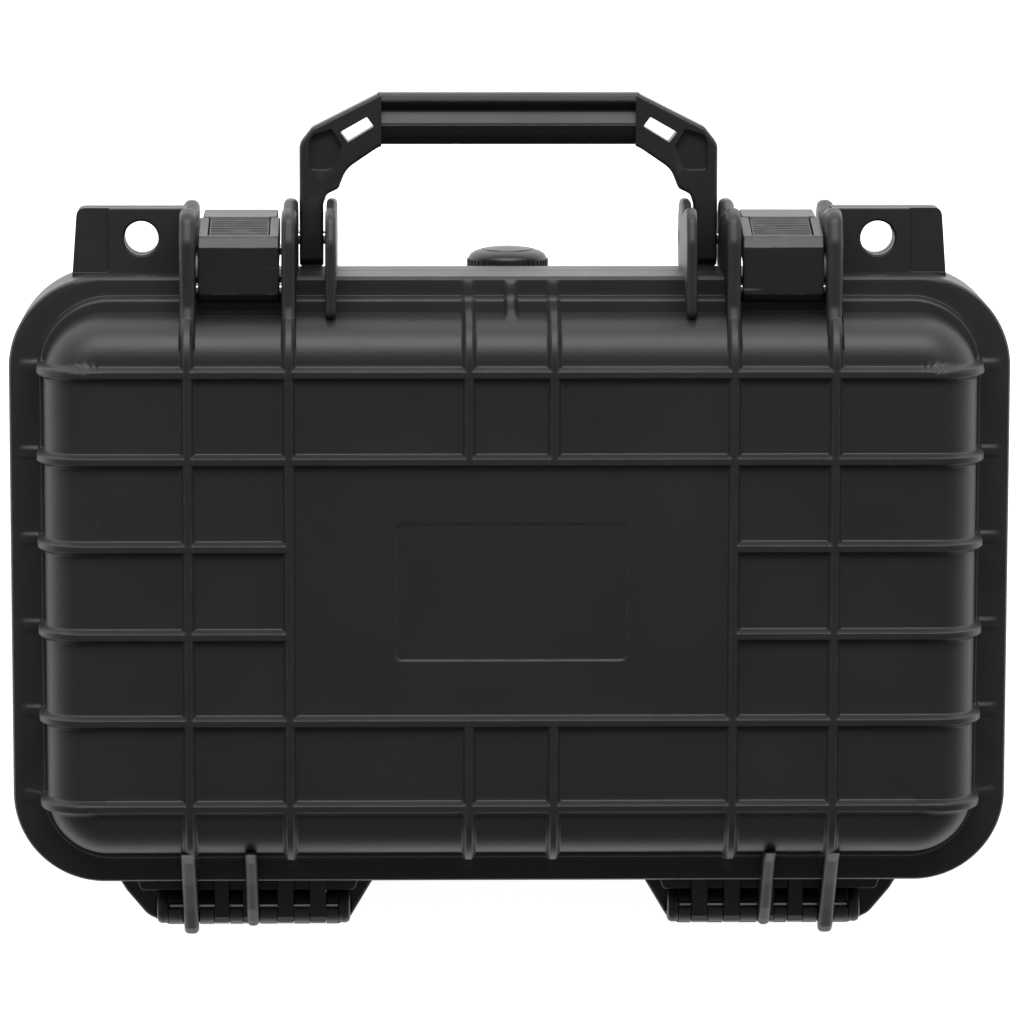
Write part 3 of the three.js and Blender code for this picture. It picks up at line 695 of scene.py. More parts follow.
def makeShell(name, levels, faceZ, up, label, ribValues):
    size = shellSizes
    crossRibs = [ribLook["Outer Cross Rib"], ribLook["Inner Cross Rib"], ribLook["Middle Cross Rib"], 0.0]
    longRibs = [ribLook["Middle Long Rib"], ribLook["Inner Long Rib"], ribLook["Outer Long Rib"]]
    xs = gridLines(size["halfX"] - size["gridInset"], crossRibs, size["labelX"])
    ys = gridLines(size["halfY"] - size["gridInset"], longRibs, size["labelY"])
    points, outward, gains, faces = [], [], [], []
    for y in ys:
        for x in xs:
            points.append((x, y, faceZ + (labelSink(x, y) if label else 0.0)))
            outward.append((0, 0, up))
            gains.append(1.0)
    columns = len(xs)
    for row in range(len(ys) - 1):
        for column in range(columns - 1):
            first = row * columns + column
            faces.append((first, first + 1, first + columns + 1, first + columns))
    start = len(points)
    around = 0
    for level in levels:
        ring = ringPoints(level, xs, ys)
        around = len(ring)
        for (x, y), way in ring:
            points.append((x, y, level["z"]))
            outward.append((way[0] * level["side"], way[1] * level["side"], level["up"]))
            gains.append(level["gain"])
    for row in range(len(levels) - 1):
        for side in range(around):
            first = start + row * around + side
            second = start + row * around + (side + 1) % around
            faces.append((first, second, second + around, first + around))
    last = start + (len(levels) - 1) * around
    faces.append(tuple(range(last, last + around)))
    build = bmesh.new()
    outLayer = build.verts.layers.float_vector.new("outward")
    gainLayer = build.verts.layers.float.new("ribGain")
    corners = []
    for point, way, gain in zip(points, outward, gains):
        corner = build.verts.new(point)
        corner[outLayer] = way
        corner[gainLayer] = gain
        corners.append(corner)
    for face in faces:
        build.faces.new([corners[index] for index in face])
    piece = closeMesh(name, build)
    useTree(piece, ribTree, {**ribLook, **ribValues, "Material": finishes["shellPlastic"]})
    for label in ("outward", "ribGain"):
        attribute = piece.data.attributes.get(label)
        if attribute:
            piece.data.attributes.remove(attribute)
    return piece


def lidLevels():
    rows = [(130.6, 12.75, 1, 0, 1.12), (128.2, 12.62, 1, 0, 1.12), (127.35, 12.5, 1, 0.15, 1.1),
            (127.08, 12.3, 0.8, 0.5, 0.9), (127.0, (11.9, 12.0, 12.0), 0.4, 0.9, 0.65),
            (127.0, (11.4, 8.7, 10.3), 0.1, 1, 0.4), (126.88, (11.15, 8.0, 9.6), 0.2, 0.95, 0.4),
            (126.45, (10.9, 7.55, 9.2), 0.6, 0.8, 0.4), (124.6, (10.6, 6.95, 8.7), 0.7, 0.7, 0.4),
            (124.15, (10.3, 6.7, 8.3), 0.4, 0.9, 0.36), (124.0, (9.8, 6.4, 7.9), 0, 1, 0.3),
            (124.0, (7.5, 4.8, 7.0), 0, 1, 0.26), (124.0, (5.2, 3.2, 6.2), 0, 1, 0.2),
            (124.0, (4.2, 2.2, 5.6), 0, 1, 0.14), (124.0, (3.4, 1.5, 4.8), 0, 1, 0.04),
            (124.0, (2.9, 1.2, 4.0), 0, 1, 0)]
    levels = [shellLevel(*row) for row in rows]
    rim = [(123.85, 0.8), (123.4, 0.35), (122.7, 0.08), (121.8, 0.0), (112.0, -0.0), (104.6, 0.0),
           (104.28, 0.1), (lidRimZ, 0.4)]
    levels += [shellLevel(z, inset, 1, 0, 0, "rimCorner") for z, inset in rim]
    under = [(lidRimZ, 5.9), (104.4, 6.05), (107.1, 6.1), (107.35, 6.4), (107.35, 9.6), (107.1, 9.9),
             (104.4, 9.95), (lidRimZ, 10.1), (lidRimZ, 14.9), (104.5, 15.35), (128.0, 15.8)]
    levels += [shellLevel(z, inset, 0, 0, 0) for z, inset in under]
    return faceLevels(lidFaceZ, 1) + levels + innerLevels(lidFaceZ, 1)


def baseLevels():
    rows = [
        (40.0, 12.75, 1, 0, 1.0, "bodyCorner"), (65.0, 12.6, 1, 0, 1.0, "bodyCorner"),
        (84.0, 12.45, 1, 0, 1.0, "bodyCorner"), (86.6, 12.3, 1, -0.2, 0.95, "bodyCorner"),
        (87.6, 11.8, 0.7, -0.7, 0.8, "bodyCorner"), (88.0, 11.0, 0.3, -0.9, 0.6, "bodyCorner"),
        (88.0, 8.0, 0, -1, 0.55, "rimCorner"), (88.0, 4.0, 0, -1, 0.5, "rimCorner"),
        (88.05, 2.4, 0, -1, 0.35, "rimCorner"), (88.3, 1.2, 0.3, -0.9, 0.12, "rimCorner"),
        (88.9, 0.35, 0.7, -0.7, 0, "rimCorner"), (89.8, 0.0, 1, 0, 0, "rimCorner"),
        (96.0, 0.0, 1, 0, 0, "rimCorner"), (103.4, 0.0, 1, 0, 0, "rimCorner"),
        (103.72, 0.1, 1, 0, 0, "rimCorner"), (baseRimZ, 0.4, 0, 0, 0, "rimCorner"),
        (baseRimZ, 7.1, 0, 0, 0, "bodyCorner"), (104.1, 7.2, 0, 0, 0, "bodyCorner"),
        (104.2, 7.5, 0, 0, 0, "bodyCorner"), (104.2, 8.5, 0, 0, 0, "bodyCorner"),
        (104.1, 8.8, 0, 0, 0, "bodyCorner"), (baseRimZ, 8.9, 0, 0, 0, "bodyCorner"),
        (baseRimZ, 14.9, 0, 0, 0, "bodyCorner"), (103.5, 15.35, 0, 0, 0, "bodyCorner"),
        (60.0, 15.6, 0, 0, 0, "bodyCorner"),
    ]
    levels = [shellLevel(*row) for row in rows]
    return faceLevels(baseFaceZ, -1) + levels + innerLevels(baseFaceZ, -1)


earSizes = {"places": ((112.0, 5.6), (77.0, 5.1), (62.5, 3.8)), "tipY": -132.0, "rootY": -93.5,
            "footY": -104.3, "footZ": 109.5}
pins = {"latch": (-104.0, 129.5, 2.0), "catch": (-114.0, 95.0, 2.0), "handle": (-117.0, 82.0, 2.5),
        "hinge": (120.5, 104.0, 2.2)}
padlock = {"plate": ((113.0, 1.0), (151.5, 2.5), (153.5, 0.0)), "tipY": -130.0, "eye": (129.0, -119.5),
           "radius": 6.0}
hingeSizes = {"radius": 6.5,
              "lidKnuckles": ((110.4, 116.0), (99.6, 104.9), (88.9, 94.7), (76.7, 82.5), (65.2, 70.9)),
              "baseKnuckles": ((116.1, 121.2), (105.0, 110.3), (94.8, 99.5), (82.6, 88.8), (71.0, 76.6),
                               (60.8, 65.1)),
              "cheeks": ((121.0, 125.4), (56.6, 61.0)), "side": 0.1, "window": (118.2, 120.6),
              "windowRise": (1, 9), "fins": ((110.5, 115.7, 130.4), (89.0, 93.3, 127.6))}


def makeEars(name, outlineFor, flat):
    ears = []
    for x, width in earSizes["places"]:
        for side in (-1, 1):
            low, high = between(side, x - width / 2, x + width / 2)
            ears.append(makePlate(name, outlineFor(x), low, high, width * 0.42, "X", flat, 4, 6))
    return gather(name, ears)


def lidEar(x):
    rootY, tipY = earSizes["rootY"], earSizes["tipY"]
    crest = [(-98.6, 140.4, 7), (-121, 139.4, 9), (-130.2, 136.0, 6), (tipY, 129.0, 6), (-130.6, 117, 8),
             (-128.6, 107, 4), (-127.6, lidRimZ, 1.5)]
    footY, footZ = earSizes["footY"], earSizes["footZ"]
    foot = [(footY, lidRimZ, 0), (footY, footZ, 0), (rootY, footZ, 0)]  # stays outside the seal's groove
    if x < 70:
        return [*foot, (rootY, 136.5, 0), (-95.6, 140.4, 2.5), *crest]
    arc = {"y": -80.1, "z": 133.0}
    outside = [(30, 17.3), (42, 16.9), (54, 16.3), (66, 15.2), (74, 14.2)]
    inside = [(76, 13.2), (58, 13.0), (40, 13.0), (20, 13.0), (0, 13.2)]
    outline = foot
    for turn, radius in reversed(inside):
        angle = math.radians(turn)
        outline.append((arc["y"] - radius * math.cos(angle), arc["z"] + radius * math.sin(angle), 1))
    for turn, radius in reversed(outside):
        angle = math.radians(turn)
        outline.append((arc["y"] - radius * math.cos(angle), arc["z"] + radius * math.sin(angle), 1.5))
    return outline + crest


def baseEar(x):
    rootY = earSizes["rootY"]
    if x > 100:
        return [(rootY, baseRimZ, 0), (-127.6, baseRimZ, 1.5), (-128.8, 101, 4), (-131.0, 92, 6),
                (-130.6, 83.5, 5), (-124, 80, 6), (-110, 82, 8), (rootY, 83, 0)]
    return [(rootY, baseRimZ, 0), (-127.6, baseRimZ, 1.5), (-128.8, 101, 4), (-131.2, 92, 6),
            (-131.0, 82, 5), (-125, 74.5, 6), (-118, 73.6, 5), (-112, 75, 6), (rootY, 80, 0)]


def makePadlockPlates(name, low, high):
    plates = []
    for side in (-1, 1):
        nearX, farX, rootX = (side * spot[0] for spot in padlock["plate"])
        corners = [(nearX, -103, 0), (nearX, padlock["tipY"], 0), (farX, padlock["tipY"], 3),
                   (rootX, -103, 0)]
        plates.append(makePlate(name, corners, low, high, 0.5))
    return gather(name, plates)


def padlockEyes(name, low, high):
    flare = 0.7
    radius = padlock["radius"]
    profile = [(radius + 2, low - 2), (radius + flare, low), (radius, low + flare), (radius, high - flare),
               (radius + flare, high), (radius + 2, high + 2)]
    x, y = padlock["eye"]
    return gather(name, [makeTurned(name, profile, (side * x, y, 0), "Z", 56) for side in (-1, 1)])


def padlockRecess(name, low, high):  # the thinner web beyond the eye's pad
    cuts = []
    for side in (-1, 1):
        corners = [(side * 140.2, -107.2, 1.5), (side * 140.2, -131.5, 0), (side * 160, -131.5, 0),
                   (side * 160, -107.2, 0)]
        cuts.append(makePlate(name, corners, low, high, 0.3))
    return gather(name, cuts)


def pinBores(name, spans, pin, extra=0.3):
    y, z, radius = pins[pin]
    rods = []
    for side in (-1, 1):
        for near, far in spans:
            low, high = between(side, near, far)
            rods.append(makeRod(name, low, high, y, z, radius + extra))
    return gather(name, rods)


def lidHingeParts():
    radius = hingeSizes["radius"]
    y, z, _ = pins["hinge"]
    knuckle = [(105, lidRimZ, 0), (y - radius, lidRimZ, 0)]
    for step in range(1, 10):
        angle = math.pi + step / 10 * 1.5 * math.pi
        knuckle.append((y + radius * math.cos(angle), z + radius * math.sin(angle), 0.8))
    knuckle += [(y - 1.5, z + radius, 2), (112, 111.5, 2), (105, 112.5, 0)]
    knuckles, fins, plates = [], [], []
    for side in (-1, 1):
        low, high = between(side, 52, 134)
        corners = [(low, 105, 0), (high, 105, 0), (high - 3, 113.8, 2), (low + 3, 113.8, 2)]
        plates.append(makePlate("hingePlate", corners, lidRimZ, 109.6, 0.8))
        for near, far in hingeSizes["lidKnuckles"]:
            low, high = between(side, near, far)
            knuckles.append(makePlate("knuckle", knuckle, low, high, 0.4, "X", None, 2, 3))
        for near, far, tip in hingeSizes["fins"]:
            fin = [(93.5, 109.5, 0), (104.3, 109.5, 0), (104.3, lidRimZ, 0), (y, lidRimZ, 0),
                   (tip - 0.8, 104.2, 1.5), (tip, 106.6, 2.0), (tip - 3, 111, 4), (119, 117.5, 6),
                   (108, 127, 8), (98, 137, 6), (93.5, 144, 0)]
            low, high = between(side, near, far)
            fins.append(makePlate("fin", fin, low, high, 1.8, "X", None, 4, 6))
    return [gather("hingePlates", plates), gather("knuckles", knuckles), gather("fins", fins)]


def baseHingeParts():
    y, z, _ = pins["hinge"]
    windowZ = [z + rise for rise in hingeSizes["windowRise"]]
    blocks, cheeks, knuckles = [], [], []
    for side in (-1, 1):
        corners = [(side * 44.5, 105, 0), (side * 142.5, 105, 0), (side * 136.5, 115, 8),
                   (side * 129, 124, 8), (side * 121.5, 127.6, 4), (side * 60.4, 127.6, 4),
                   (side * 56.5, 125, 5), (side * 50, 114, 8)]
        block = makePlate("hingeBlock", corners, 94.8, baseRimZ, 1.6, "Z", None, 4)
        slots = []
        for near, far in hingeSizes["lidKnuckles"]:
            low, high = between(side, near - hingeSizes["side"], far + hingeSizes["side"])
            slots.append(makeBlock("slot", (low, high), (111.0, 140.0), (80.0, 120.0), 0.1))
        combine(block, gather("slots", slots), "DIFFERENCE")
        blocks.append(block)
        radius = hingeSizes["radius"] - 0.3
        for near, far in hingeSizes["cheeks"]:
            low, high = between(side, near, far)
            profile = [(0, low), (radius - 1.6, low), (radius - 0.5, low + 0.5), (radius, low + 1.6),
                       (radius, high - 1.6), (radius - 0.5, high - 0.5), (radius - 1.6, high), (0, high)]
            cheeks.append(makeTurned("cheek", profile, (0, y, z), "X", 48))
        for near, far in hingeSizes["baseKnuckles"]:
            low, high = between(side, near, far)
            profile = [(0, low), (radius - 0.2, low), (radius, low + 0.2), (radius, high - 0.2),
                       (radius - 0.2, high), (0, high)]
            barrel = makeTurned("barrel", profile, (0, y, z), "X", 48)
            combine(barrel, makeBlock("window", (low - 1, high + 1), hingeSizes["window"], windowZ, 0.1),
                    "DIFFERENCE")
            knuckles.append(barrel)
    return [gather("hingeBlocks", blocks), gather("baseKnuckles", knuckles), gather("cheeks", cheeks)]


def makeLid():
    ribs = {"Front Limit": -400.0, "Front Gusset": 1.6}
    shell = makeShell("lidShell", lidLevels(), lidFaceZ, 1, True, ribs)
    combine(shell, makeEars("ear", lidEar, lidRimZ))
    combine(shell, makePadlockPlates("plate", lidRimZ, 110.15))
    combine(shell, padlockRecess("recess", 108.6, 114.0), "DIFFERENCE")
    combine(shell, padlockEyes("eye", lidRimZ, 110.15), "DIFFERENCE")
    for part in lidHingeParts():
        combine(shell, part)
    combine(shell, pinBores("bore", [(75.3, 116.0)], "latch"), "DIFFERENCE")
    combine(shell, pinBores("bore", [(56.0, 126.0)], "hinge"), "DIFFERENCE")
    return finishPiece(shell, "lid", "shellPlastic", ["lid_shell"])


postSizes = {"half": 6, "alongX": 100, "alongY": 50, "spanY": (84.8, 93.0), "spanX": (152.3, 160.5),
             "rise": (4.0, 61.7), "edge": 1.2}


def trayPosts():
    size = postSizes
    posts = []
    for side in (-1, 1):
        for end in (-1, 1):
            x = (end * size["alongX"] - size["half"], end * size["alongX"] + size["half"])
            posts.append(makeBlock("post", x, between(side, *size["spanY"]), size["rise"], size["edge"]))
            y = (end * size["alongY"] - size["half"], end * size["alongY"] + size["half"])
            posts.append(makeBlock("post", between(side, *size["spanX"]), y, size["rise"], size["edge"]))
    return gather("posts", posts)


def makeBase():
    ribs = {"Front Limit": -88.0, "Front Gusset": 0.0}
    shell = makeShell("baseShell", baseLevels(), baseFaceZ, -1, False, ribs)
    combine(shell, makeEars("ear", baseEar, baseRimZ))
    combine(shell, makePadlockPlates("plate", 97.85, baseRimZ))
    combine(shell, padlockEyes("eye", 97.85, baseRimZ), "DIFFERENCE")
    for part in baseHingeParts():
        combine(shell, part)
    pad = [(-40, -24, 2), (40, -24, 2), (40, 24, 2), (-40, 24, 2)]
    combine(shell, makePlate("pad", pad, 0.0, 3.5, 0.6))
    combine(shell, trayPosts())
    combine(shell, pinBores("bore", [(75.3, 116.0)], "catch"), "DIFFERENCE")
    combine(shell, pinBores("bore", [(60.2, 79.8)], "handle"), "DIFFERENCE")
    combine(shell, pinBores("bore", [(56.0, 126.0)], "hinge"), "DIFFERENCE")
    hole = makeTurned("hole", [(7.3, -102.0), (7.3, -86.0)], (0, 0, 69.0), "Y", 48)
    combine(shell, hole, "DIFFERENCE")
    return finishPiece(shell, "base", "shellPlastic", ["base_shell"])


makeLid()
print("lid shell ready")
makeBase()
print("base shell ready")


# bright pins with chamfered ends
def makePin(name, start, end, pin, body, node):
    y, z, radius = pins[pin]
    chamfer = 0.35
    profile = [(0, start), (radius - chamfer, start), (radius, start + chamfer), (radius, end - chamfer),
               (radius - chamfer, end), (0, end)]
    piece = makeTurned(name, profile, (0, y, z), "X", 40)
    return finishPiece(piece, body, "pinSteel", [node], 30)


def makePins():
    for side, word in ((1, "left"), (-1, "right")):
        low, high = between(side, 57.0, 125.0)
        makePin("hingePin_" + word, low, high, "hinge", "base", "hinge_pin_" + word)
        low, high = between(side, 61.0, 78.0)
        makePin("handlePin_" + word, low, high, "handle", "base", "handle_pin_" + word)
        low, high = between(side, 75.5, 114.9)
        makePin("latchPin_" + word, low, high, "latch", "lid", "latch_pin_" + word)
        low, high = between(side, 75.5, 114.9)
        makePin("catchBar_" + word, low, high, "catch", "base", "catch_bar_" + word)


makePins()
print("pins ready")

latchSizes = {"centre": 94.4, "half": 14.1, "border": 10.7, "barrel": 4.8, "panel": 10.45, "lip": 13.0,
              "hook": 12.0, "pin": (-16.5, -9.0, 1.25), "ridges": 7, "ridgeRadius": 0.9}


def latchPlate(name, corners, low, high, edge, centreX, steps=4):
    pivotY, pivotZ, _ = pins["latch"]
    placed = [(y + pivotY, z + pivotZ, radius) for y, z, radius in corners]
    return makePlate(name, placed, centreX + low, centreX + high, edge, "X", None, 3, steps)


def makeLatchBody(side, word):
    size = latchSizes
    half = size["half"]
    centreX = side * size["centre"]
    pivotY, pivotZ, pinRadius = pins["latch"]
    top = [(4.8, 0, 0.3), (4.6, 1.4, 0.6), (3.6, 3.2, 1), (1.5, 5.1, 1.2), (-14.8, 5.5, 1.0),
           (-18.4, 3.4, 1.0), (-18.8, 1.7, 0.4), (-4.5, 1.7, 0.5)]
    body = latchPlate("latchBody_" + word, top, -half, half, 0.7, centreX)
    barrel = [(0, centreX - half), (size["barrel"] - 0.5, centreX - half),
              (size["barrel"], centreX - half + 0.5), (size["barrel"], centreX + half - 0.5),
              (size["barrel"] - 0.5, centreX + half), (0, centreX + half)]
    combine(body, makeTurned("barrel", barrel, (0, pivotY, pivotZ), "X", 48))
    border = [(-14.8, 5.5, 1.0), (-18.4, 3.4, 1.0), (-22.9, -19.5, 0.8), (-17.5, -20.2, 1), (-11.5, -13, 2),
              (-9, 1.7, 1)]
    sides = [latchPlate("border", border, *between(end, size["border"], half), 0.6, centreX)
             for end in (-1, 1)]
    combine(body, gather("borders", sides))
    low, high = centreX - half - 1, centreX + half + 1
    combine(body, makeRod("bore", low, high, pivotY, pivotZ, pinRadius + 0.3), "DIFFERENCE")
    y, z, radius = size["pin"]
    bore = makeRod("bore", centreX - 13.4, centreX + 13.4, pivotY + y, pivotZ + z, radius + 0.3, 24)
    combine(body, bore, "DIFFERENCE")
    return finishPiece(body, "latch_" + word, "latchPlastic", ["latch_body_" + word])


def makeTrigger(side, word):
    size = latchSizes
    centreX = side * size["centre"]
    pivotY, pivotZ, _ = pins["latch"]
    panel = [(-17.8, 0.9, 0.4), (-21.9, -19.0, 1), (-22.9, -20.6, 1), (-23.0, -22.2, 0), (-18.6, -22.2, 0),
             (-15.2, -4, 2), (-14.6, 0.9, 0.4)]
    body = latchPlate("latchTrigger_" + word, panel, -size["panel"], size["panel"], 0.35, centreX)
    lip = [(-22.9, -21.4, 0.6), (-23.8, -38, 1.5), (-23.0, -40.6, 1.2), (-19.8, -40.6, 1), (-19.3, -38.5, 1),
           (-18.6, -21.4, 0.4)]
    combine(body, latchPlate("lip", lip, -size["lip"], size["lip"], 0.6, centreX))
    hook = [(-21, -37.2, 0), (-21, -40.6, 0), (-9.2, -40.6, 0.5), (-8.3, -38.2, 0.4), (-18, -38.2, 1)]
    combine(body, latchPlate("hook", hook, -size["hook"], size["hook"], 0.3, centreX))
    y, z, radius = size["pin"]
    combine(body, makeRod("boss", centreX - 9.8, centreX + 9.8, pivotY + y, pivotZ + z, 3.0))
    ridges = emptyPiece("ridges")
    first = Vector((centreX, pivotY - 17.75, pivotZ - 1.2))
    last = Vector((centreX, pivotY - 21.15, pivotZ - 17.6))
    useTree(ridges, ridgeTree, {
        "Count": size["ridges"], "Bar Length": 2 * size["panel"] - 1.2, "Bar Radius": size["ridgeRadius"],
        "First": first, "Last": last, "Material": finishes["latchPlastic"]})
    combine(body, ridges)
    bore = makeRod("bore", centreX - 12, centreX + 12, pivotY + y, pivotZ + z, radius + 0.3, 24)
    combine(body, bore, "DIFFERENCE")
    return finishPiece(body, "trigger_" + word, "latchPlastic", ["latch_trigger_" + word])


def makeTriggerHardware(side, word):
    size = latchSizes
    centreX = side * size["centre"]
    pivotY, pivotZ, _ = pins["latch"]
    y, z, radius = size["pin"]
    low, high = centreX - 13.1, centreX + 13.1
    profile = [(0, low), (radius - 0.2, low), (radius, low + 0.2), (radius, high - 0.2),
               (radius - 0.2, high), (0, high)]
    pin = makeTurned("triggerPin_" + word, profile, (0, pivotY + y, pivotZ + z), "X", 28)
    finishPiece(pin, "latch_" + word, "pinSteel", ["trigger_pin_" + word], 30)
    strip = [(-5.5, 1.35, 0), (-12.6, 1.35, 0.9), (-13, -5, 0.1), (-12.5, -5, 0.1), (-12.1, 0.85, 0.5),
             (-5.5, 0.85, 0)]
    spring = latchPlate("triggerSpring_" + word, strip, -4, 4, 0.08, centreX, 6)
    finishPiece(spring, "latch_" + word, "springSteel", ["trigger_spring_" + word])


for side, word in ((1, "left"), (-1, "right")):
    makeLatchBody(side, word)
    makeTrigger(side, word)
    makeTriggerHardware(side, word)
print("latches ready")

handleSizes = {"legIn": 65.6, "legOut": 74.0, "thick": 9.5, "heelY": -109.0, "heelCentreY": -111.3,
               "edge": 1.3, "barHalf": 46.4, "barRoomX": (-45.0, 45.0), "barRoomY": (-175.0, -145.0)}


def handleBar():  # the grip's section in (y, z), carried along X
    y0, z0 = -168.4, pins["handle"][1]
    section = [(y0, z0 - 3.5, 1.5), (y0, z0 + 4.0, 1.2), (y0 + 3.0, z0 + 4.9, 1.0),
               (y0 + 6.4, z0 + 0.9, 1.2), (y0 + 10.7, z0 + 3.4, 0.4), (y0 + 11.3, z0 + 4.4, 0.5),
               (y0 + 15.0, z0 + 2.4, 4), (y0 + 18.7, z0 - 0.8, 3), (y0 + 18.4, z0 - 4.5, 4),
               (y0 + 13.0, z0 - 7.5, 4), (y0 + 5.5, z0 - 7.4, 4)]
    return makePlate("bar", section, -handleSizes["barHalf"], handleSizes["barHalf"], 0.3, "X", None, 2, 4)


def makeHandle():
    size = handleSizes
    pivotY, pivotZ, pinRadius = pins["handle"]
    low = pivotZ - size["thick"] / 2
    high = pivotZ + size["thick"] / 2
    right = [(size["legOut"], size["heelY"], 0), (size["legOut"], -150.5, 5), (69.5, -156.2, 3),
             (45.4, -168.4, 3)]
    inner = [(44.6, -150.3, 12), (57.5, -141.5, 10), (60.2, -134.6, 2.0), (64.4, -132.6, 3.0),
             (size["legIn"], -129.0, 3), (size["legIn"], size["heelY"], 0)]
    mirrored = [(-x, y, radius) for x, y, radius in reversed(right)]
    innerLeft = [(-x, y, radius) for x, y, radius in reversed(inner)]
    outline = right + mirrored + innerLeft + inner
    body = makePlate("handle", outline, low, high, size["edge"], "Z", None, 3, 6)
    barRoom = makeBlock("barRoom", size["barRoomX"], size["barRoomY"], (low - 1, high + 1), 0.1)
    combine(body, barRoom, "DIFFERENCE")
    combine(body, handleBar())
    windows, pockets, heels, bores = [], [], [], []
    for side in (-1, 1):
        window = [(side * 59.6, -154.6, 0.4), (side * 50.1, -160.0, 0.4), (side * 47.6, -156.6, 0.4),
                  (side * 56.8, -151.0, 0.4)]
        windows.append(makePlate("window", window, low - 9, high + 9, 0.1))
        pocket = [(side * 70.6, -151.2, 2), (side * 69.0, -154.0, 1.5), (side * 62.5, -156.0, 1),
                  (side * 58.6, -149.6, 1.5), (side * 62.6, -140.8, 3), (side * 70.6, -140.8, 2.5)]
        for bottom, top in ((high - 2.6, high + 2), (low - 2, low + 2.6)):
            pockets.append(makePlate("pocket", pocket, bottom, top, 0.5))
        nearX, farX = between(side, size["legIn"], size["legOut"])
        half = size["thick"] / 2
        heel = [(0, nearX), (half - 0.8, nearX), (half, nearX + 0.8), (half, farX - 0.8), (half - 0.8, farX),
                (0, farX)]
        heels.append(makeTurned("heel", heel, (0, size["heelCentreY"], pivotZ), "X", 48))
        bores.append(makeRod("bore", nearX - 1, farX + 1, pivotY, pivotZ, pinRadius + 0.3))
    combine(body, gather("windows", windows), "DIFFERENCE")
    combine(body, gather("pockets", pockets), "DIFFERENCE")
    combine(body, gather("heels", heels))
    combine(body, gather("bores", bores), "DIFFERENCE")
    return finishPiece(body, "handle", "handlePlastic", ["handle"])


makeHandle()
print("handle ready")

valveSizes = {"z": 69.0, "wallY": -95.1, "radius": 14.5, "teeth": 44, "toothRadius": 0.55}


def makeValve():
    size = valveSizes
    centre = (0, 0, size["z"])
    wall = size["wallY"]
    outer = size["radius"] - 0.45
    knobProfile = [(0, 17.2), (4, 17.1), (8.6, 16.5), (8.9, 15.9), (9.3, 15.9), (9.6, 16.2), (11.6, 15.6),
                   (13.2, 14.6), (outer, 13.2), (outer, 2.6), (outer - 0.5, 2.0), (12.4, 2.0), (12.4, 10.0),
                   (0, 10.0)]
    knob = makeTurned("valveKnob", [(radius, wall - height) for radius, height in knobProfile], centre, "Y",
                      96)
    teeth = emptyPiece("teeth")
    useTree(teeth, toothTree, {"Teeth": size["teeth"], "Circle Radius": outer - 0.1,
                               "Tooth Radius": size["toothRadius"], "Tooth Length": 9.8,
                               "Centre": Vector((0, wall - 8.0, size["z"])),
                               "Material": finishes["valvePlastic"]})
    combine(knob, teeth)
    finishPiece(knob, "valve_cap", "valvePlastic", ["valve_knob"])
    bodyProfile = [(4.5, 9.2), (6.6, 9.2), (7.0, 8.8), (7.0, 3.6), (11.5, 3.6), (11.8, 3.3), (11.8, 2.2),
                   (11.5, 1.9), (7.0, 1.9), (7.0, -5.7), (6.6, -6.1), (4.5, -6.1)]
    body = makeTurned("valveBody", [(radius, wall - height) for radius, height in bodyProfile], centre, "Y",
                      64, True)
    finishPiece(body, "base", "valvePlastic", ["valve_body"])
    ringProfile = [(8.95 + 1.5 * math.cos(turn * math.pi / 6), 0.95 + 0.62 * math.sin(turn * math.pi / 6))
                   for turn in range(12)]
    ring = makeTurned("valveSealRing", [(radius, wall - height) for radius, height in ringProfile], centre,
                      "Y", 64, True)
    finishPiece(ring, "base", "sealRubber", ["valve_seal_ring"])
    hexagon = [(11.4 * math.sin(math.pi / 3 * turn), size["z"] + 11.4 * math.cos(math.pi / 3 * turn), 0.6)
               for turn in range(6)]
    nut = makePlate("valveNut", hexagon, wall + 3.6, wall + 5.9, 0.4, "Y")
    combine(nut, makeTurned("hole", [(7.3, wall), (7.3, wall + 9)], centre, "Y", 48), "DIFFERENCE")
    finishPiece(nut, "base", "valvePlastic", ["valve_nut"])
    vent = [(0.6, 1.0), (4.2, 1.0), (4.2, 1.5), (0.6, 1.5)]
    membrane = makeTurned("valveMembrane", [(radius, wall - height) for radius, height in vent], centre, "Y",
                          40, True)
    finishPiece(membrane, "base", "ventMembrane", ["valve_membrane"])


makeValve()
print("valve ready")


def makeSeal():
    levels = [(104.75, 7.0), (104.65, 8.0), (104.75, 9.0), (105.4, 9.6), (106.6, 9.6), (106.9, 8.0),
              (106.6, 6.4), (105.4, 6.4)]
    points = []
    around = 0
    for z, inset in levels:
        ring = ringPoints(shellLevel(z, inset, 0, 0, 0), [-139.0, 139.0], [-71.5, 71.5])
        around = len(ring)
        points += [(x, y, z) for (x, y), _ in ring]
    seal = meshFrom("lidSeal", points, wallFaces(len(levels), around, False, True))
    return finishPiece(seal, "lid", "sealRubber", ["lid_seal"], 50)


makeSeal()

traySizes = {"halfX": 155.7, "halfY": 88.2, "corner": 14.7, "lip": 1.9, "wall": 2.0, "floor": 62.0,
             "top": 99.5, "spacing": 76.0}


def roundedBox(name, halfX, halfY, corner, low, high, edge, centreY=0.0):
    corners = [(sx * halfX, centreY + sy * halfY, corner) for sx, sy in ((1, -1), (1, 1), (-1, 1), (-1, -1))]
    return makePlate(name, corners, low, high, edge, "Z", None, 5, 10)


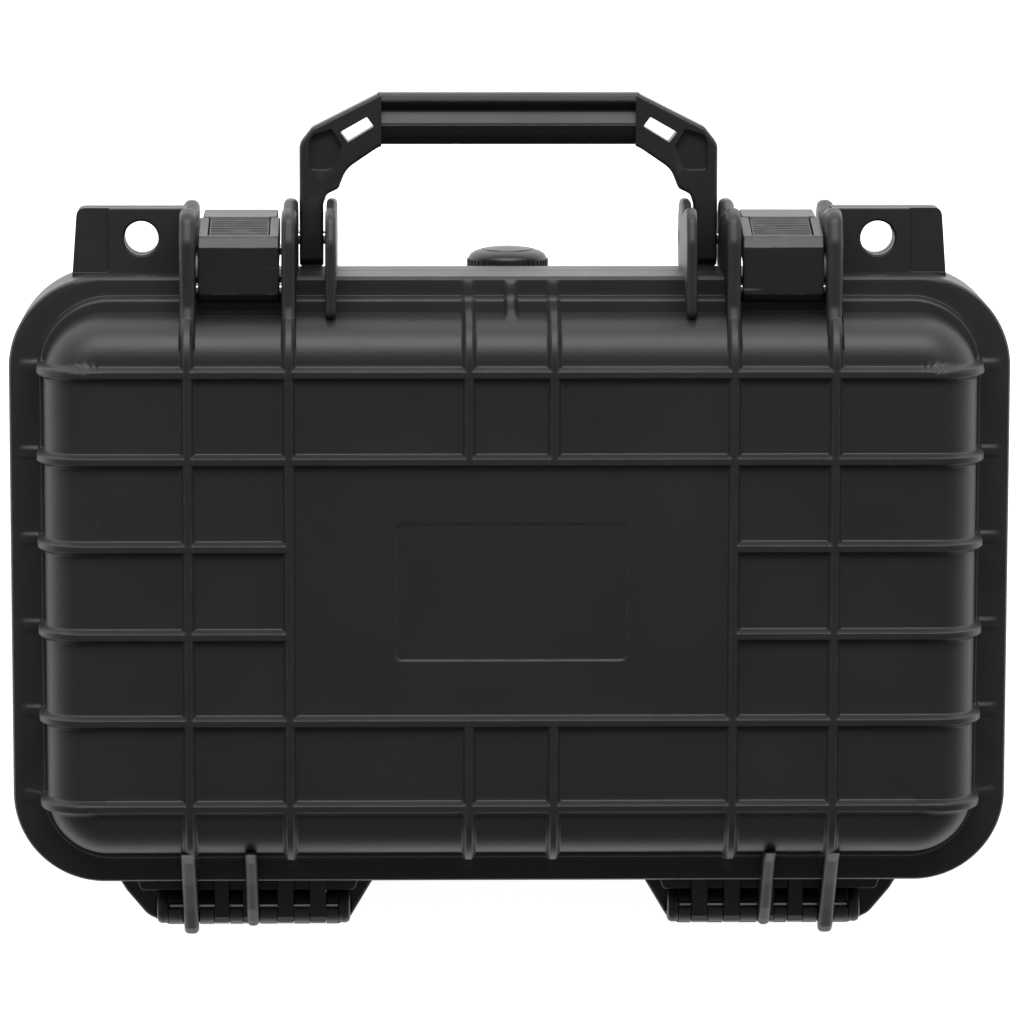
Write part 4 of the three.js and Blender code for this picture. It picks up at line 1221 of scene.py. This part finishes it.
def makeTray():
    size = traySizes
    body = roundedBox("tray", size["halfX"], size["halfY"], size["corner"], size["floor"], size["top"], 3.0)
    trim = makeBlock("trim", (-200, 200), (-120, 120), (size["top"] - 3.2, size["top"] + 3), 0.1)
    combine(body, trim, "DIFFERENCE")
    lip = roundedBox("lip", size["halfX"] + size["lip"], size["halfY"] + size["lip"], size["corner"] + 2,
                     size["top"] - 2.4, size["top"], 0.6)
    band = roundedBox("band", size["halfX"], size["halfY"], size["corner"], size["top"] - 6, size["top"] - 1,
                      0.1)
    combine(body, band)
    combine(body, lip)
    insideY = size["halfY"] - size["wall"]
    wellHalf = (insideY - 1.5) / 2
    wells = [roundedBox("well", size["halfX"] - size["wall"], wellHalf, 8.0, size["floor"] + 2,
                        size["top"] + 9, 3.5, side * (1.5 + wellHalf)) for side in (-1, 1)]
    combine(body, gather("wells", wells), "DIFFERENCE")
    grip = [(-47, 97, 0), (-44, 103, 4), (-40, 106, 6), (40, 106, 6), (44, 103, 4), (47, 97, 0), (47, 80, 0),
            (-47, 80, 0)]
    combine(body, makePlate("grip", grip, -1.5, 1.5, 0.8, "Y", None, 3, 5))
    slot = [(-34, 86.5, 6), (34, 86.5, 6), (34, 102, 6), (-34, 102, 6)]
    combine(body, makePlate("slot", slot, -6, 6, 0.1, "Y", None, 2, 8), "DIFFERENCE")
    guides = []
    for step in (-1, 0, 1):
        for edge in (-1, 1):
            x = step * size["spacing"] + edge * 2.3
            guides.append(makeBlock("guide", (x - 1, x + 1), (0.6, 3.5), (63.0, 83.5), 0.4))
            guides.append(makeBlock("guide", (x - 1, x + 1), (insideY - 2, insideY + 0.5), (63.0, 96.5),
                                    0.4))
    combine(body, gather("guides", guides))
    finishPiece(body, "tray", "trayPlastic", ["tray"])
    for number, step in enumerate((-1, 0, 1), 1):
        x = step * size["spacing"]
        corners = [(1.8, 64.3, 2.5), (insideY - 0.3, 64.3, 2.5), (insideY - 0.3, 83.2, 1.5),
                   (1.8, 83.2, 1.5)]
        divider = makePlate("trayDivider_" + str(number), corners, x - 1, x + 1, 0.5, "X")
        finishPiece(divider, "tray", "trayPlastic", ["tray_divider_" + str(number)])


makeTray()
print("tray ready")


# pale floor and soft studio light
def makeFloor():
    half = 3.0
    mesh = bpy.data.meshes.new("floor")
    mesh.from_pydata([(-half, -half, -0.0005), (half, -half, -0.0005), (half, half, -0.0005),
                      (-half, half, -0.0005)], [], [(0, 1, 2, 3)])
    floor = bpy.data.objects.new("floor", mesh)
    bpy.context.scene.collection.objects.link(floor)
    material = bpy.data.materials.new("floorPaper")
    material.use_nodes = True
    tree = material.node_tree
    shader = tree.nodes["Principled BSDF"]
    shader.inputs["Roughness"].default_value = 0.9
    shader.inputs["Emission Color"].default_value = (1.0, 1.0, 1.0, 1.0)
    shader.inputs["Emission Strength"].default_value = 0.85
    place = tree.nodes.new("ShaderNodeTexCoord").outputs["Object"]
    paper = addNode(tree, "ShaderNodeTexNoise", {"Vector": place, "Scale": 3.0, "Detail": 3.0})
    tree.links.new(mixColors(tree, paper.outputs["Fac"], (0.93, 0.93, 0.93), (0.96, 0.96, 0.96)),
                   shader.inputs["Base Color"])
    mesh.materials.append(material)


lights = {
    "key": {"place": (0.0, -1.9, 1.7), "size": (2.8, 1.1), "power": 62.0},
    "left": {"place": (2.3, -0.3, 0.45), "size": (0.6, 2.0), "power": 5.0},
    "right": {"place": (-2.3, -0.3, 0.45), "size": (0.6, 2.0), "power": 5.0},
    "back": {"place": (0.0, 2.2, 1.6), "size": (2.4, 0.8), "power": 1.0},
}
surround = {"overhead": 0.16, "horizon": 0.1, "handleSide": 0.9}


def makeLights():
    for name, setup in lights.items():
        data = bpy.data.lights.new(name, "AREA")
        data.shape = "RECTANGLE"
        data.size, data.size_y = setup["size"]
        data.energy = setup["power"]
        light = bpy.data.objects.new(name, data)
        light.location = setup["place"]
        aim = Vector((0.0, 0.0, 0.1)) - Vector(setup["place"])
        light.rotation_euler = aim.to_track_quat("-Z", "Y").to_euler()
        bpy.context.scene.collection.objects.link(light)


def makeSurround():  # a dim ceiling over a bright horizon, brightest on the handle's side
    world = bpy.data.worlds.new("world")
    bpy.context.scene.world = world
    world.use_nodes = True
    tree = world.node_tree
    way = addNode(tree, "ShaderNodeSeparateXYZ",
                  {0: tree.nodes.new("ShaderNodeTexCoord").outputs["Generated"]})
    low = rampBetween(tree, way.outputs[2], 0.6, 0.1)
    handleSide = rampBetween(tree, way.outputs[1], 0.3, -0.8)
    rim = mathNode(tree, "MULTIPLY_ADD", handleSide, surround["handleSide"], surround["horizon"])
    strength = mathNode(tree, "MULTIPLY_ADD", rim, low, surround["overhead"])
    background = tree.nodes["Background"]
    background.inputs["Color"].default_value = (1.0, 1.0, 1.0, 1.0)
    tree.links.new(strength, background.inputs["Strength"])


makeFloor()
makeLights()
makeSurround()
print("stage ready")
